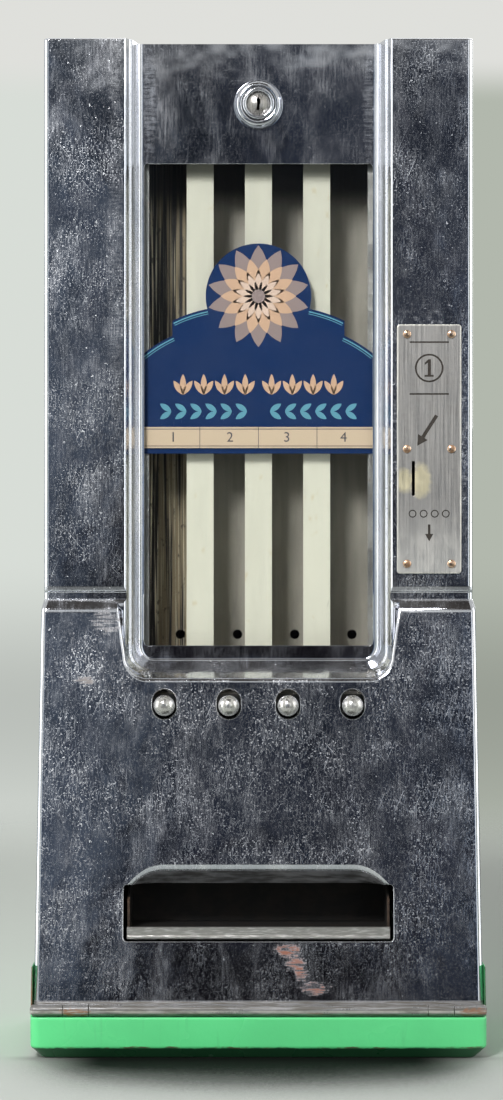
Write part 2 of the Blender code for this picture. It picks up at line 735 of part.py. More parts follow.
def scoop_sections(grow):
    """Sections of the finger scoop, from in front of the face to its deep end."""
    rim = face_front(SCOOP_RIM_TOP)
    sections = []
    for share in SCOOP_SHARES:
        ease = 1 - math.sqrt(max(0, 1 - share * share)) if share > 0 else 0
        top = SCOOP_RIM_TOP - ease * (SCOOP_RIM_TOP - OPENING_TOP + SCOOP_LIP) + grow
        low_half = SCOOP_BOTTOM_HALF + SCOOP_SPREAD * (1 - share) + grow
        high_half = SCOOP_TOP_HALF + ease * (SCOOP_BOTTOM_HALF - SCOOP_TOP_HALF) + grow
        depth = rim + share * SCOOP_DEPTH + (grow if share == 1 else 0)
        bottom = OPENING_TOP - SCOOP_CORNER
        points = [(-low_half, bottom), (-high_half, top), (high_half, top), (low_half, bottom)]
        sections.append([(x, place_y(depth), z) for x, z in points])
    return sections


def plunger_hole(name, x):
    """A cutter for one oblong hole, dished at the face."""
    height = KNOB_Z + HOLE_RISE
    front = face_front(height)
    depth_share, width_share = HOLE_DISH_SHARES
    sections = []
    levels = [
        (front - OVERRUN, HOLE_DISH),
        (front - GAP, HOLE_DISH),
        (front + HOLE_DISH * depth_share, HOLE_DISH * width_share),
        (front + HOLE_DISH, 0),
        (front + DOOR_WALL + OVERRUN, 0),
    ]
    for depth, grow in levels:
        half = HOLE_WIDTH / 2 + grow
        outline = rounded_box(
            half, -HOLE_HEIGHT / 2 - grow, HOLE_HEIGHT / 2 + grow, half - GAP, SMALL_STEPS // 2
        )
        sections.append([(x + u, place_y(depth), height + v) for u, v in outline])
    return loft(name, sections)


def make_front_cover():
    cover = loft("front_cover", door_sections(0, DOOR_RIM, FOOT_Z, HEIGHT))
    hollow = loft(
        "door_hollow",
        door_sections(DOOR_WALL, DOOR_RIM + OVERRUN, FOOT_Z - OVERRUN, HEIGHT - DOOR_WALL),
    )
    cut(hollow, loft("recess_back", recess_sections(DOOR_WALL)))
    cut(hollow, loft("scoop_back", scoop_sections(DOOR_WALL)))
    cut(cover, loft("recess", recess_sections(0)))
    cut(cover, loft("scoop", scoop_sections(0)))
    cut(cover, hollow)
    window = rounded_box(WINDOW_HALF, WINDOW_BOTTOM, WINDOW_TOP, WINDOW_CORNER)
    cut(cover, prism("window_hole", "Y", window, RECESS_DEPTH - OVERRUN, DOOR_RIM))
    opening = rounded_box(OPENING_HALF, OPENING_BOTTOM, OPENING_TOP, OPENING_CORNER)
    cut(cover, prism("opening_hole", "Y", opening, FOOT_F - OVERRUN, -SHOULDER_STEP))
    lock_hole = BARREL_RADIUS + GAP
    start = (0, DOOR_RIM, LOCK_Z)
    cut(cover, rod("lock_hole", start, DOOR_RIM - RECESS_DEPTH + OVERRUN, lock_hole, "front"))
    for index, x in enumerate(KNOB_X):
        cut(cover, plunger_hole("plunger_hole_" + str(index + 1), x))
    slot_half = COIN_SLOT_WIDTH / 2 + COIN_HOLE_EXTRA
    slot = block(
        "coin_hole",
        (COIN_SLOT_X - slot_half, -OVERRUN, COIN_SLOT_BOTTOM - COIN_HOLE_EXTRA),
        (
            COIN_SLOT_X + slot_half,
            DOOR_WALL + THIN_OVERRUN,
            COIN_SLOT_BOTTOM + COIN_SLOT_HEIGHT + COIN_HOLE_EXTRA,
        ),
    )
    cut(cover, slot)
    return finish(cover, CHROME)


def hinge_tube(name, low, high, end):
    """A tube along the hinge's axis with rounded ends."""
    profile = [
        (BEAD_BORE, high),
        (BEAD_RADIUS - end, high),
        (BEAD_RADIUS, high - end),
        (BEAD_RADIUS, low + end),
        (BEAD_RADIUS - end, low),
        (BEAD_BORE, low),
    ]
    place = (0, HINGE_Y - FACE_Y, HINGE_Z)
    return turned(name, profile, place, "X", closed=True)


def make_hinge():
    half = BASE_WIDTH / 2
    near = KNUCKLE_X - KNUCKLE_LENGTH / 2
    far = KNUCKLE_X + KNUCKLE_LENGTH / 2
    beads = [
        hinge_tube("door_bead_left", -half, -far - GAP, BEAD_END),
        hinge_tube("door_bead_middle", -near + GAP, near - GAP, BEAD_INNER_END),
        hinge_tube("door_bead_right", far + GAP, half, BEAD_END),
    ]
    for bead in beads:
        finish(bead, CHROME)
    finish(hinge_tube("base_knuckle_left", -far, -near, BEAD_INNER_END), STEEL)
    finish(hinge_tube("base_knuckle_right", near, far, BEAD_INNER_END), STEEL)
    length = BASE_WIDTH - 2 * ROD_SHORTER
    start = (-length / 2, HINGE_Y - FACE_Y, HINGE_Z)
    finish(rod("hinge_rod", start, length, BEAD_BORE - GAP, "X", SMALL_STEPS), STEEL)
    return beads


# Window, card and clips

def make_window():
    glass_half = WINDOW_HALF + GLASS_OVERLAP
    glass_low = WINDOW_BOTTOM - GLASS_OVERLAP
    glass_high = WINDOW_TOP + GLASS_OVERLAP
    glass = block(
        "window_glass",
        (-glass_half, GLASS_FRONT, glass_low),
        (glass_half, GLASS_BACK, glass_high),
    )
    finish(glass, CLEAR_GLASS)
    inner = rounded_box(glass_half + GAP, glass_low - GAP, glass_high + GAP, GAP, 1)
    outer_half = glass_half + RING_WIDTH
    outer = rounded_box(outer_half, glass_low - RING_WIDTH, glass_high + RING_WIDTH, RING_WIDTH)
    ring = prism("glass_frame", "Y", outer, GLASS_FRONT, RING_BACK, (inner,))
    finish(ring, STEEL)
    clips = []
    for side, name in ((-1, "left"), (1, "right")):
        low, high = sorted((side * outer_half, side * (outer_half - CLIP_WIDTH)))
        clip = block(
            "glass_retainer_" + name,
            (low, CLIP_FRONT, glass_low),
            (high, CLIP_FRONT + CLIP_THICKNESS, glass_high),
        )
        clips.append(finish(clip, STEEL))
    side_top = CARD_BOTTOM + CARD_SIDE_HEIGHT
    outline = [(-CARD_HALF, CARD_BOTTOM), (CARD_HALF, CARD_BOTTOM), (CARD_HALF, side_top)]
    outline += arc((0, side_top), CARD_ARCH_RADIUS, 0, 180, ROUND_STEPS)
    outline.append((-CARD_HALF, side_top))
    card = prism("sign_card", "Y", outline, CARD_FRONT, CARD_FRONT + CARD_THICKNESS)
    finish(card, BLUE_CARD)
    strip = block(
        "number_strip",
        (-STRIP_HALF, STRIP_FRONT, STRIP_BOTTOM),
        (STRIP_HALF, STRIP_FRONT + STRIP_THICKNESS, STRIP_BOTTOM + STRIP_HEIGHT),
    )
    finish(strip, CREAM_PAINT)
    return glass, ring, card, strip, *clips


# Lock, with heights counted in front of the recessed panel

def make_lock():
    place = (0, RECESS_DEPTH, LOCK_Z)
    bore = BARREL_RADIUS + GAP
    collar = turned(
        "lock_collar",
        [
            (bore, COLLAR_HEIGHT),
            (COLLAR_TOP_RADIUS, COLLAR_HEIGHT),
            (COLLAR_RADIUS, COLLAR_EDGE),
            (COLLAR_RADIUS, GAP),
            (bore, GAP),
        ],
        place,
        "front",
        closed=True,
    )
    plug_bore = PLUG_RADIUS + GAP
    barrel = turned(
        "lock_barrel",
        [
            (plug_bore, BARREL_FRONT - BARREL_ROUND),
            (plug_bore + BARREL_ROUND, BARREL_FRONT),
            (BARREL_RADIUS - BARREL_ROUND, BARREL_FRONT),
            (BARREL_RADIUS, BARREL_FRONT - BARREL_ROUND),
            (BARREL_RADIUS, -BARREL_BACK),
            (plug_bore, -BARREL_BACK),
        ],
        place,
        "front",
        closed=True,
    )
    nut_top = -DOOR_WALL - GAP
    nut = turned(
        "lock_nut",
        [
            (bore, nut_top),
            (LOCK_NUT_RADIUS, nut_top),
            (LOCK_NUT_RADIUS, nut_top - LOCK_NUT_HEIGHT),
            (bore, nut_top - LOCK_NUT_HEIGHT),
        ],
        place,
        "front",
        steps=LOCK_NUT_SIDES,
        closed=True,
    )
    nut_core = rod(
        "lock_nut_bore",
        (0, RECESS_DEPTH - nut_top + LOCK_NUT_HEIGHT + OVERRUN, LOCK_Z),
        LOCK_NUT_HEIGHT + 2 * OVERRUN,
        bore,
        "front",
    )
    cut(nut, nut_core)
    plug_back = -BARREL_BACK - GAP
    plug = turned(
        "lock_plug",
        [
            (0, PLUG_FRONT - PLUG_DISH),
            (PLUG_RADIUS / 2, PLUG_FRONT - PLUG_DISH / 2),
            (PLUG_RADIUS - PLUG_RIM, PLUG_FRONT),
            (PLUG_RADIUS, PLUG_FRONT - PLUG_RIM / 2),
            (PLUG_RADIUS, plug_back),
            (0, plug_back),
        ],
        place,
        "front",
    )
    keyway = block(
        "keyway",
        (-KEYWAY_WIDTH / 2, RECESS_DEPTH - PLUG_FRONT - OVERRUN, LOCK_Z - KEYWAY_HEIGHT / 2),
        (
            KEYWAY_WIDTH / 2,
            RECESS_DEPTH - PLUG_FRONT + KEYWAY_DEPTH,
            LOCK_Z + KEYWAY_HEIGHT / 2,
        ),
    )
    cut(plug, keyway)
    cam_front = RECESS_DEPTH - plug_back + GAP
    outline = [(CAM_REACH, LOCK_Z - CAM_WIDTH / 2), (CAM_REACH, LOCK_Z + CAM_WIDTH / 2)]
    meet = math.degrees(math.asin(CAM_WIDTH / 2 / CAM_HUB_RADIUS))
    outline += arc((0, LOCK_Z), CAM_HUB_RADIUS, meet, 360 - meet, SMALL_STEPS)
    hole = circle((0, LOCK_Z), CAM_SCREW_RADIUS + GAP, SMALL_STEPS)
    cam = prism("lock_cam", "Y", outline, cam_front, cam_front + CAM_THICKNESS, (hole,))
    head_front = -(cam_front - RECESS_DEPTH + CAM_THICKNESS + GAP)
    screw = turned(
        "cam_screw",
        [
            (0, head_front + CAM_THICKNESS),
            (CAM_SCREW_RADIUS, head_front + CAM_THICKNESS),
            (CAM_SCREW_RADIUS, head_front),
            (CAM_SCREW_HEAD_RADIUS, head_front),
            (CAM_SCREW_HEAD_RADIUS, head_front - CAM_SCREW_HEAD),
            (0, head_front - CAM_SCREW_HEAD),
        ],
        place,
        "front",
        steps=SMALL_STEPS,
    )
    for piece, look in (
        (collar, CHROME),
        (barrel, CHROME),
        (nut, STEEL),
        (plug, CHROME),
        (cam, STEEL),
        (screw, STEEL),
    ):
        finish(piece, look)
    return (collar, barrel, nut), (plug, cam, screw), cam_front


def make_lock_catch(cam_front):
    """An angle under the cabinet's top that the cam turns up behind."""
    back = cam_front - CATCH_TO_CAM
    top = HEIGHT - SHEET - GAP
    outline = [
        (back - CATCH_FLANGE, top),
        (back, top),
        (back, top - CATCH_DROP),
        (back - CATCH_THICKNESS, top - CATCH_DROP),
        (back - CATCH_THICKNESS, top - CATCH_THICKNESS),
        (back - CATCH_FLANGE, top - CATCH_THICKNESS),
    ]
    return finish(prism("lock_catch", "X", outline, -CATCH_HALF, CATCH_HALF), STEEL)


# Coin plate, its screws and the coin throat

def make_coin_plate():
    middle = COIN_PLATE_LEFT + COIN_PLATE_WIDTH / 2
    top = COIN_PLATE_BOTTOM + COIN_PLATE_HEIGHT
    outline = rounded_box(
        COIN_PLATE_WIDTH / 2, COIN_PLATE_BOTTOM, top, COIN_PLATE_CORNER, middle=middle
    )
    slot = rounded_box(
        COIN_SLOT_WIDTH / 2,
        COIN_SLOT_BOTTOM,
        COIN_SLOT_BOTTOM + COIN_SLOT_HEIGHT,
        COIN_SLOT_CORNER,
        middle=COIN_SLOT_X,
    )
    back = COIN_PLATE_FRONT + COIN_PLATE_THICKNESS
    inset = COIN_PLATE_SCREW_INSET
    columns = (COIN_PLATE_LEFT + inset, COIN_PLATE_LEFT + COIN_PLATE_WIDTH - inset)
    middle_z = COIN_PLATE_BOTTOM + COIN_PLATE_HEIGHT / 2
    rows = (COIN_PLATE_BOTTOM + inset, middle_z, top - inset)
    spots = [(x, z) for x in columns for z in rows]
    hole_radius = SCREW_SHANK_RADIUS + GAP
    holes = [circle(spot, hole_radius, SMALL_STEPS) for spot in spots]
    plate = prism("coin_plate", "Y", outline, COIN_PLATE_FRONT, back, (slot, *holes))
    screws = []
    bores = []
    crown_width, crown_height = SCREW_CROWN_SHARES
    for x, z in spots:
        seat = (x, COIN_PLATE_FRONT - GAP, z)
        head = [
            (0, SCREW_HEAD_HEIGHT),
            (SCREW_HEAD_RADIUS * crown_width, SCREW_HEAD_HEIGHT * crown_height),
            (SCREW_HEAD_RADIUS, SCREW_EDGE_HEIGHT),
            (SCREW_HEAD_RADIUS, 0),
            (SCREW_SHANK_RADIUS, 0),
            (SCREW_SHANK_RADIUS, -SCREW_LENGTH),
            (0, -SCREW_LENGTH),
        ]
        name = "coin_plate_screw_" + str(len(screws) + 1)
        screws.append(finish(turned(name, head, seat, "front", steps=SMALL_STEPS), BRASS))
        start = (x, DOOR_WALL + THIN_OVERRUN, z)
        length = DOOR_WALL + 2 * THIN_OVERRUN
        bores.append(rod("bore", start, length, hole_radius, "front", SMALL_STEPS))
    return finish(plate, CHROME), screws, merged("coin_plate_bores", bores)


def duct(name, outline, passage, brackets=()):
    """A flat duct for coins: an outline in side view with a passage cut through it."""
    body = prism(
        name, "X", outline, COIN_SLOT_X - COIN_DUCT_WIDTH / 2, COIN_SLOT_X + COIN_DUCT_WIDTH / 2
    )
    fuse(body, *brackets)
    hollow = prism(
        name + "_passage",
        "X",
        passage,
        COIN_SLOT_X - COIN_DUCT_GAP / 2,
        COIN_SLOT_X + COIN_DUCT_GAP / 2,
    )
    cut(body, hollow)
    return finish(body, STEEL)


def make_coin_throat():
    low = THROAT_TOP - COIN_DUCT_HEIGHT
    slope = THROAT_DROP / (THROAT_END - THROAT_FRONT)
    outline = [
        (THROAT_FRONT, low),
        (THROAT_END, low - THROAT_DROP),
        (THROAT_END, THROAT_TOP - THROAT_DROP),
        (THROAT_FRONT, THROAT_TOP),
    ]
    wall = COIN_DUCT_WALL
    over = THIN_OVERRUN * slope
    passage = [
        (THROAT_FRONT - THIN_OVERRUN, low + wall + over),
        (THROAT_END + THIN_OVERRUN, low + wall - THROAT_DROP - over),
        (THROAT_END + THIN_OVERRUN, THROAT_TOP - wall - THROAT_DROP - over),
        (THROAT_FRONT - THIN_OVERRUN, THROAT_TOP - wall + over),
    ]
    return duct("coin_throat", outline, passage)


def make_coin_chute():
    """A duct that turns down from the throat's end to above the coin lever."""
    wall = COIN_DUCT_WALL
    top = THROAT_TOP - THROAT_DROP + CHUTE_STEP / 2
    mouth_low = top - COIN_DUCT_HEIGHT - CHUTE_STEP
    back = CHUTE_TURN + COIN_DUCT_HEIGHT / 2
    front = CHUTE_TURN - COIN_DUCT_HEIGHT / 2
    radius = COIN_DUCT_HEIGHT / 2

    def side(inset, over):
        rounding = radius - inset
        points = [(CHUTE_START - over, mouth_low + inset)]
        points.append((front + inset, mouth_low - wall + inset))
        points.append((front + inset, CHUTE_BOTTOM - over))
        points.append((back - inset, CHUTE_BOTTOM - over))
        points += arc((back - radius, top - radius), rounding, 0, 90, RECESS_STEPS)
        points.append((CHUTE_START - over, top - inset))
        return points

    brackets = []
    for index, z in enumerate(CHUTE_BRACKET_Z):
        brackets.append(
            block(
                "chute_bracket_" + str(index + 1),
                (COIN_SLOT_X - SHEET / 2, back - wall / 2, z),
                (COIN_SLOT_X + SHEET / 2, CABINET_BACK_INNER - GAP, z + CHUTE_BRACKET_HEIGHT),
            )
        )
    duct("coin_chute", side(0, 0), side(wall, THIN_OVERRUN), brackets)


# Plungers: a knob with its stem, and a slide with a pocket for one packet

def make_plunger(index):
    number = str(index + 1)
    knob_x = KNOB_X[index]
    ball_f = KNOB_RADIUS - KNOB_FRONT
    place = (knob_x, ball_f, KNOB_Z)
    profile = [(0, KNOB_RADIUS)]
    neck_angle = math.degrees(math.asin(NECK_RADIUS / KNOB_RADIUS))
    for radius, height in arc((0, 0), KNOB_RADIUS, KNOB_START, neck_angle - 90, SMALL_STEPS // 2):
        profile.append((radius, height))
    neck_end = -KNOB_RADIUS - NECK_LENGTH
    stem_end = -(SLIDE_FRONT + STEM_SOCKET - ball_f)
    profile += [(NECK_RADIUS, neck_end), (STEM_RADIUS, neck_end), (STEM_RADIUS, stem_end)]
    profile.append((0, stem_end))
    knob = finish(turned("knob_" + number, profile, place, "front", steps=SMALL_STEPS), CHROME)
    middle = COLUMN_X[index]
    half = (COLUMN_PITCH - RAIL_WIDTH) / 2 - SLIDE_SIDE_CLEARANCE
    slide = block(
        "slide_" + number,
        (middle - half, SLIDE_FRONT, SLIDE_BOTTOM),
        (middle + half, SLIDE_BACK, SLIDE_TOP),
    )
    pocket_f = SLIDE_FRONT + POCKET_FRONT
    pocket = block(
        "pocket_" + number,
        (middle - half + POCKET_SIDE, pocket_f, SLIDE_BOTTOM - OVERRUN),
        (middle + half - POCKET_SIDE, pocket_f + POCKET_LENGTH, SLIDE_TOP + OVERRUN),
    )
    notch = block(
        "notch_" + number,
        (middle - NOTCH_WIDTH / 2, NOTCH_FRONT, SLIDE_BOTTOM - OVERRUN),
        (middle + NOTCH_WIDTH / 2, NOTCH_FRONT + NOTCH_LENGTH, SLIDE_TOP + OVERRUN),
    )
    socket = rod(
        "socket_" + number,
        (knob_x, SLIDE_FRONT + STEM_SOCKET + GAP, KNOB_Z),
        STEM_SOCKET + OVERRUN,
        STEM_RADIUS + GAP,
        "front",
        SMALL_STEPS,
    )
    cut(slide, pocket, notch, socket)
    finish(slide, STEEL)
    empty = joint_empty("plunger_axis_" + number, (knob_x, SLIDE_FRONT, KNOB_Z))
    carry(empty, (knob, slide))
    return knob, slide


def make_spring(index):
    """A return spring between a slide's back and the spring rod."""
    middle = COLUMN_X[index]
    start = SLIDE_BACK + GAP + SPRING_WIRE
    end = SPRING_ROD_F - SPRING_ROD_RADIUS - GAP - SPRING_WIRE
    curve = bpy.data.curves.new("spring_" + str(index + 1), "CURVE")
    curve.dimensions = "3D"
    curve.bevel_depth = SPRING_WIRE
    curve.bevel_resolution = 1
    curve.use_fill_caps = True
    spline = curve.splines.new("POLY")
    count = SPRING_TURNS * RECESS_STEPS
    spline.points.add(count)
    for step, point in enumerate(spline.points):
        angle = 2 * math.pi * step / RECESS_STEPS
        along = start + (end - start) * step / count
        x = middle + SPRING_RADIUS * math.cos(angle)
        z = KNOB_Z + SPRING_RADIUS * math.sin(angle)
        point.co = (x, place_y(along), z, 1)
    piece = bpy.data.objects.new("spring_" + str(index + 1), curve)
    PARTS.objects.link(piece)
    return finish(take_mesh(piece), STEEL)


# Bed, rails, cheeks and spring rod

def make_bed():
    inner = MAGAZINE_INNER_HALF
    bed = block(
        "slide_bed",
        (-inner + GAP, BED_FRONT, BED_TOP - SHEET),
        (inner - GAP, BED_BACK, BED_TOP),
    )
    for index in range(1, COLUMNS):
        middle = COLUMN_X[index] - COLUMN_PITCH / 2
        rail = block(
            "rail_" + str(index),
            (middle - RAIL_WIDTH / 2, BED_FRONT, BED_TOP - SHEET / 2),
            (middle + RAIL_WIDTH / 2, BED_BACK, BED_TOP + RAIL_HEIGHT),
        )
        fuse(bed, rail)
    cheeks = []
    for side, name in ((-1, "left"), (1, "right")):
        outline = [
            (BED_FRONT, CHEEK_BOTTOM),
            (CABINET_BACK_INNER - GAP, CHEEK_BOTTOM),
            (CABINET_BACK_INNER - GAP, CHEEK_TOP),
            (BED_FRONT, CHEEK_TOP),
        ]
        shaft = circle((LOCK_SHAFT_F, LOCK_SHAFT_Z), LOCK_SHAFT_RADIUS + GAP, ROUND_STEPS)
        pin = circle((SPRING_ROD_F, KNOB_Z), SPRING_ROD_RADIUS + GAP, SMALL_STEPS)
        low, high = sorted((side * inner, side * (inner + DIVIDER_THICKNESS)))
        cheek = prism("bed_cheek_" + name, "X", outline, low, high, (shaft, pin))
        cheeks.append(finish(cheek, STEEL))
    reach = inner + DIVIDER_THICKNESS + SHEET
    start = (-reach, SPRING_ROD_F, KNOB_Z)
    pin = rod("spring_rod", start, 2 * reach, SPRING_ROD_RADIUS, "X", SMALL_STEPS)
    return finish(bed, STEEL), cheeks, finish(pin, STEEL)


# Coin lock: a rocking shaft with four fingers and a coin lever

def lever_outline(tip_front, tip_back, tip_top, arm_low):
    """A flat lever about the lock shaft, seen from the side."""
    hub = (LOCK_SHAFT_F, LOCK_SHAFT_Z)
    points = [(tip_front, arm_low), (tip_front, tip_top), (tip_back, tip_top)]
    points.append((tip_back, arm_low + FINGER_ARM_HEIGHT))
    points += arc(hub, FINGER_HUB_RADIUS, FINGER_HUB_ANGLE, -FINGER_HUB_ANGLE, SMALL_STEPS)
    return points


def make_coin_lock():
    inner = MAGAZINE_INNER_HALF
    left = -inner - DIVIDER_THICKNESS - LOCK_SHAFT_END
    start = (left, LOCK_SHAFT_F, LOCK_SHAFT_Z)
    shaft = rod("lock_bar", start, LOCK_SHAFT_RIGHT - left, LOCK_SHAFT_RADIUS, "X")
    hole = circle((LOCK_SHAFT_F, LOCK_SHAFT_Z), LOCK_SHAFT_RADIUS + GAP, ROUND_STEPS)
    tip_top = SLIDE_BOTTOM - FINGER_TIP_CLEARANCE
    arm_low = LOCK_SHAFT_Z - FINGER_ARM_HEIGHT / 2
    for index, x in enumerate(COLUMN_X):
        outline = lever_outline(
            FINGER_TIP_F - FINGER_TIP_LENGTH / 2,
            FINGER_TIP_F + FINGER_TIP_LENGTH / 2,
            tip_top,
            arm_low,
        )
        low = x - FINGER_WIDTH / 2
        fuse(shaft, prism("finger_" + str(index + 1), "X", outline, low, low + FINGER_WIDTH))
    outline = lever_outline(
        LEVER_FRONT, LEVER_FRONT + FINGER_ARM_HEIGHT, LOCK_SHAFT_Z + LEVER_RISE, arm_low
    )
    low = COIN_SLOT_X - FINGER_WIDTH / 2
    lever = prism("coin_lever", "X", outline, low, low + FINGER_WIDTH, (hole,))
    empty = joint_empty("lock_bar_axis", (0, LOCK_SHAFT_F, LOCK_SHAFT_Z))
    carry(empty, (finish(shaft, STEEL), finish(lever, BRASS)))


# Magazine

def make_magazine():
    inner = MAGAZINE_INNER_HALF
    outer = inner + DIVIDER_THICKNESS
    back = MAGAZINE_BACK
    outline = [
        (-outer, MAGAZINE_FRONT),
        (-inner, MAGAZINE_FRONT),
        (-inner, back),
        (inner, back),
        (inner, MAGAZINE_FRONT),
        (outer, MAGAZINE_FRONT),
        (outer, back + DIVIDER_THICKNESS),
        (-outer, back + DIVIDER_THICKNESS),
    ]
    shell = prism("magazine_shell", "Z", outline, MAGAZINE_BOTTOM, MAGAZINE_TOP)
    for index, x in enumerate(COLUMN_X):
        start = (x + FEED_HOLE_ASIDE, back + DIVIDER_THICKNESS + THIN_OVERRUN, FEED_HOLE_Z)
        length = DIVIDER_THICKNESS + 2 * THIN_OVERRUN
        name = "feed_hole_" + str(index + 1)
        cut(shell, rod(name, start, length, FEED_HOLE_RADIUS, "front", SMALL_STEPS))
    for index, z in enumerate(MAGAZINE_BRACKET_Z):
        bracket = block(
            "magazine_bracket_" + str(index + 1),
            (-MAGAZINE_BRACKET_WIDTH / 2, back + DIVIDER_THICKNESS / 2, z - SHEET / 2),
            (MAGAZINE_BRACKET_WIDTH / 2, CABINET_BACK_INNER - GAP, z + SHEET / 2),
        )
        fuse(shell, bracket)
    finish(shell, BROWN_METAL)
    for index in range(1, COLUMNS):
        x = COLUMN_X[index] - COLUMN_PITCH / 2
        web = DIVIDER_THICKNESS / 2
        flange = FLANGE_WIDTH / 2
        flange_back = MAGAZINE_FRONT + DIVIDER_THICKNESS
        outline = [
            (x - flange, MAGAZINE_FRONT),
            (x + flange, MAGAZINE_FRONT),
            (x + flange, flange_back),
            (x + web, flange_back),
            (x + web, back - GAP),
            (x - web, back - GAP),
            (x - web, flange_back),
            (x - flange, flange_back),
        ]
        name = "divider_" + str(index)
        finish(prism(name, "Z", outline, MAGAZINE_BOTTOM, MAGAZINE_TOP), CREAM_PAINT)


# Delivery tray

def make_tray():
    lip = -TRAY_LIP_FRONT
    path = [
        (lip, TRAY_BEAD_Z),
        (lip, TRAY_LIP_TOP - TRAY_SHEET / 2),
        (lip + TRAY_LIP_WIDTH, TRAY_LIP_TOP - TRAY_SHEET / 2),
        (-TRAY_FLOOR_FRONT, TRAY_FLOOR),
        (TRAY_FLOOR_BACK, TRAY_FLOOR),
        (TRAY_BACK_TOP_F, TRAY_BACK_TOP),
    ]
    bm = bmesh.new()
    rows = []
    for x in (-TRAY_HALF, TRAY_HALF):
        rows.append([bm.verts.new((x, place_y(depth), z)) for depth, z in path])
    for index in range(len(path) - 1):
        bm.faces.new(
            (rows[0][index], rows[1][index], rows[1][index + 1], rows[0][index + 1])
        )
    tray = add_object("delivery_tray", bm)
    solid = tray.modifiers.new("sheet", "SOLIDIFY")
    solid.thickness = TRAY_SHEET
    solid.offset = 0
    solid.use_even_offset = True
    bead = rod(
        "tray_bead",
        (-TRAY_HALF, lip, TRAY_BEAD_Z),
        2 * TRAY_HALF,
        TRAY_BEAD_RADIUS,
        "X",
        SMALL_STEPS,
    )
    fuse(tray, bead)
    for side, name in ((-1, "left"), (1, "right")):
        outline = [
            (-TRAY_SIDE_FRONT, TRAY_FLOOR),
            (TRAY_FLOOR_BACK, TRAY_FLOOR),
            (TRAY_BACK_TOP_F, TRAY_BACK_TOP),
            (-TRAY_SIDE_BACK_F, TRAY_BACK_TOP),
            (-TRAY_SIDE_BACK_F, TRAY_SIDE_LOW + TRAY_SIDE_STEP),
            (-TRAY_SIDE_FRONT, TRAY_SIDE_LOW),
        ]
        low, high = sorted((side * TRAY_HALF, side * (TRAY_HALF - TRAY_SHEET)))
        fuse(tray, prism("tray_side_" + name, "X", outline, low, high))
    for side, name in ((-1, "left"), (1, "right")):
        middle = side * SUPPORT_X
        support = block(
            "tray_support_" + name,
            (middle - SUPPORT_THICKNESS / 2, -SUPPORT_HALF, BASE_FLOOR + GAP),
            (middle + SUPPORT_THICKNESS / 2, SUPPORT_HALF, TRAY_FLOOR),
        )
        fuse(tray, support)
    finish(tray, BROWN_METAL)


def make_coin_box():
    wall = COIN_BOX_WALL
    low = BASE_FLOOR + GAP
    box = block(
        "coin_box",
        (COIN_BOX_LEFT, COIN_BOX_FRONT, low),
        (COIN_BOX_RIGHT, COIN_BOX_BACK, low + COIN_BOX_HEIGHT),
    )
    well = block(
        "coin_box_well",
        (COIN_BOX_LEFT + wall, COIN_BOX_FRONT + wall, low + wall),
        (COIN_BOX_RIGHT - wall, COIN_BOX_BACK - wall, low + COIN_BOX_HEIGHT + OVERRUN),
    )
    cut(box, well)
    return finish(box, STEEL)


# Cabinet

def cabinet_sections(inset, front, back, low, high):
    half = UPPER_WIDTH / 2
    foot = FOOT_WIDTH / 2
    levels = [
        (low, BASE_WIDTH / 2 - LIP_THICKNESS - GAP),
        (FACE_FOOT, foot),
        (CABINET_FLARE_TOP, foot),
        (BODY_TOP, half),
        (HEIGHT - 2 * TOP_ROUND, half),
        (high, half),
    ]
    radius = CABINET_CORNER - inset
    sections = []
    for height, half_width in levels:
        width = half_width - inset
        points = [(-width, front), (width, front)]
        points += arc((width - radius, back - radius), radius, 0, 90, CORNER_STEPS)
        points += arc((-width + radius, back - radius), radius, 90, 180, CORNER_STEPS)
        sections.append([(x, place_y(y), height) for x, y in points])
    return sections


def make_cabinet():
    bottom = BASE_HEIGHT + GAP
    shell = loft("cabinet_shell", cabinet_sections(0, CABINET_FRONT, BACK_F, bottom, HEIGHT))
    hollow = loft(
        "cabinet_hollow",
        cabinet_sections(
            SHEET,
            CABINET_FRONT - OVERRUN,
            CABINET_BACK_INNER,
            bottom - OVERRUN,
            HEIGHT - SHEET,
        ),
    )
    cut(shell, hollow)
    holes = []
    for x in (-BACK_HOLE_X, BACK_HOLE_X):
        for z in BACK_HOLE_Z:
            start = (x, BACK_F + OVERRUN, z)
            length = SHEET + 2 * OVERRUN
            holes.append(rod("hole", start, length, BACK_HOLE_RADIUS, "front", SMALL_STEPS))
    cut(shell, merged("back_holes", holes))
    return finish(shell, GREEN_ENAMEL)


def make_corner_angles():
    """Angles that hold the cabinet's sides to the base."""
    middle = (CABINET_FRONT + BACK_F) / 2
    outer = UPPER_WIDTH / 2 + ANGLE_IN
    bottom = BASE_HEIGHT + GAP
    for side, name in ((-1, "left"), (1, "right")):
        outline = [
            (side * outer, bottom),
            (side * outer, bottom + ANGLE_HEIGHT),
            (side * (outer - SHEET), bottom + ANGLE_HEIGHT),
            (side * (outer - SHEET), bottom + SHEET),
            (side * (outer - ANGLE_FOOT), bottom + SHEET),
            (side * (outer - ANGLE_FOOT), bottom),
        ]
        front = middle - ANGLE_WIDTH / 2
        angle = prism("corner_angle_" + name, "Y", outline, front, front + ANGLE_WIDTH)
        finish(angle, STEEL)


# Assembly

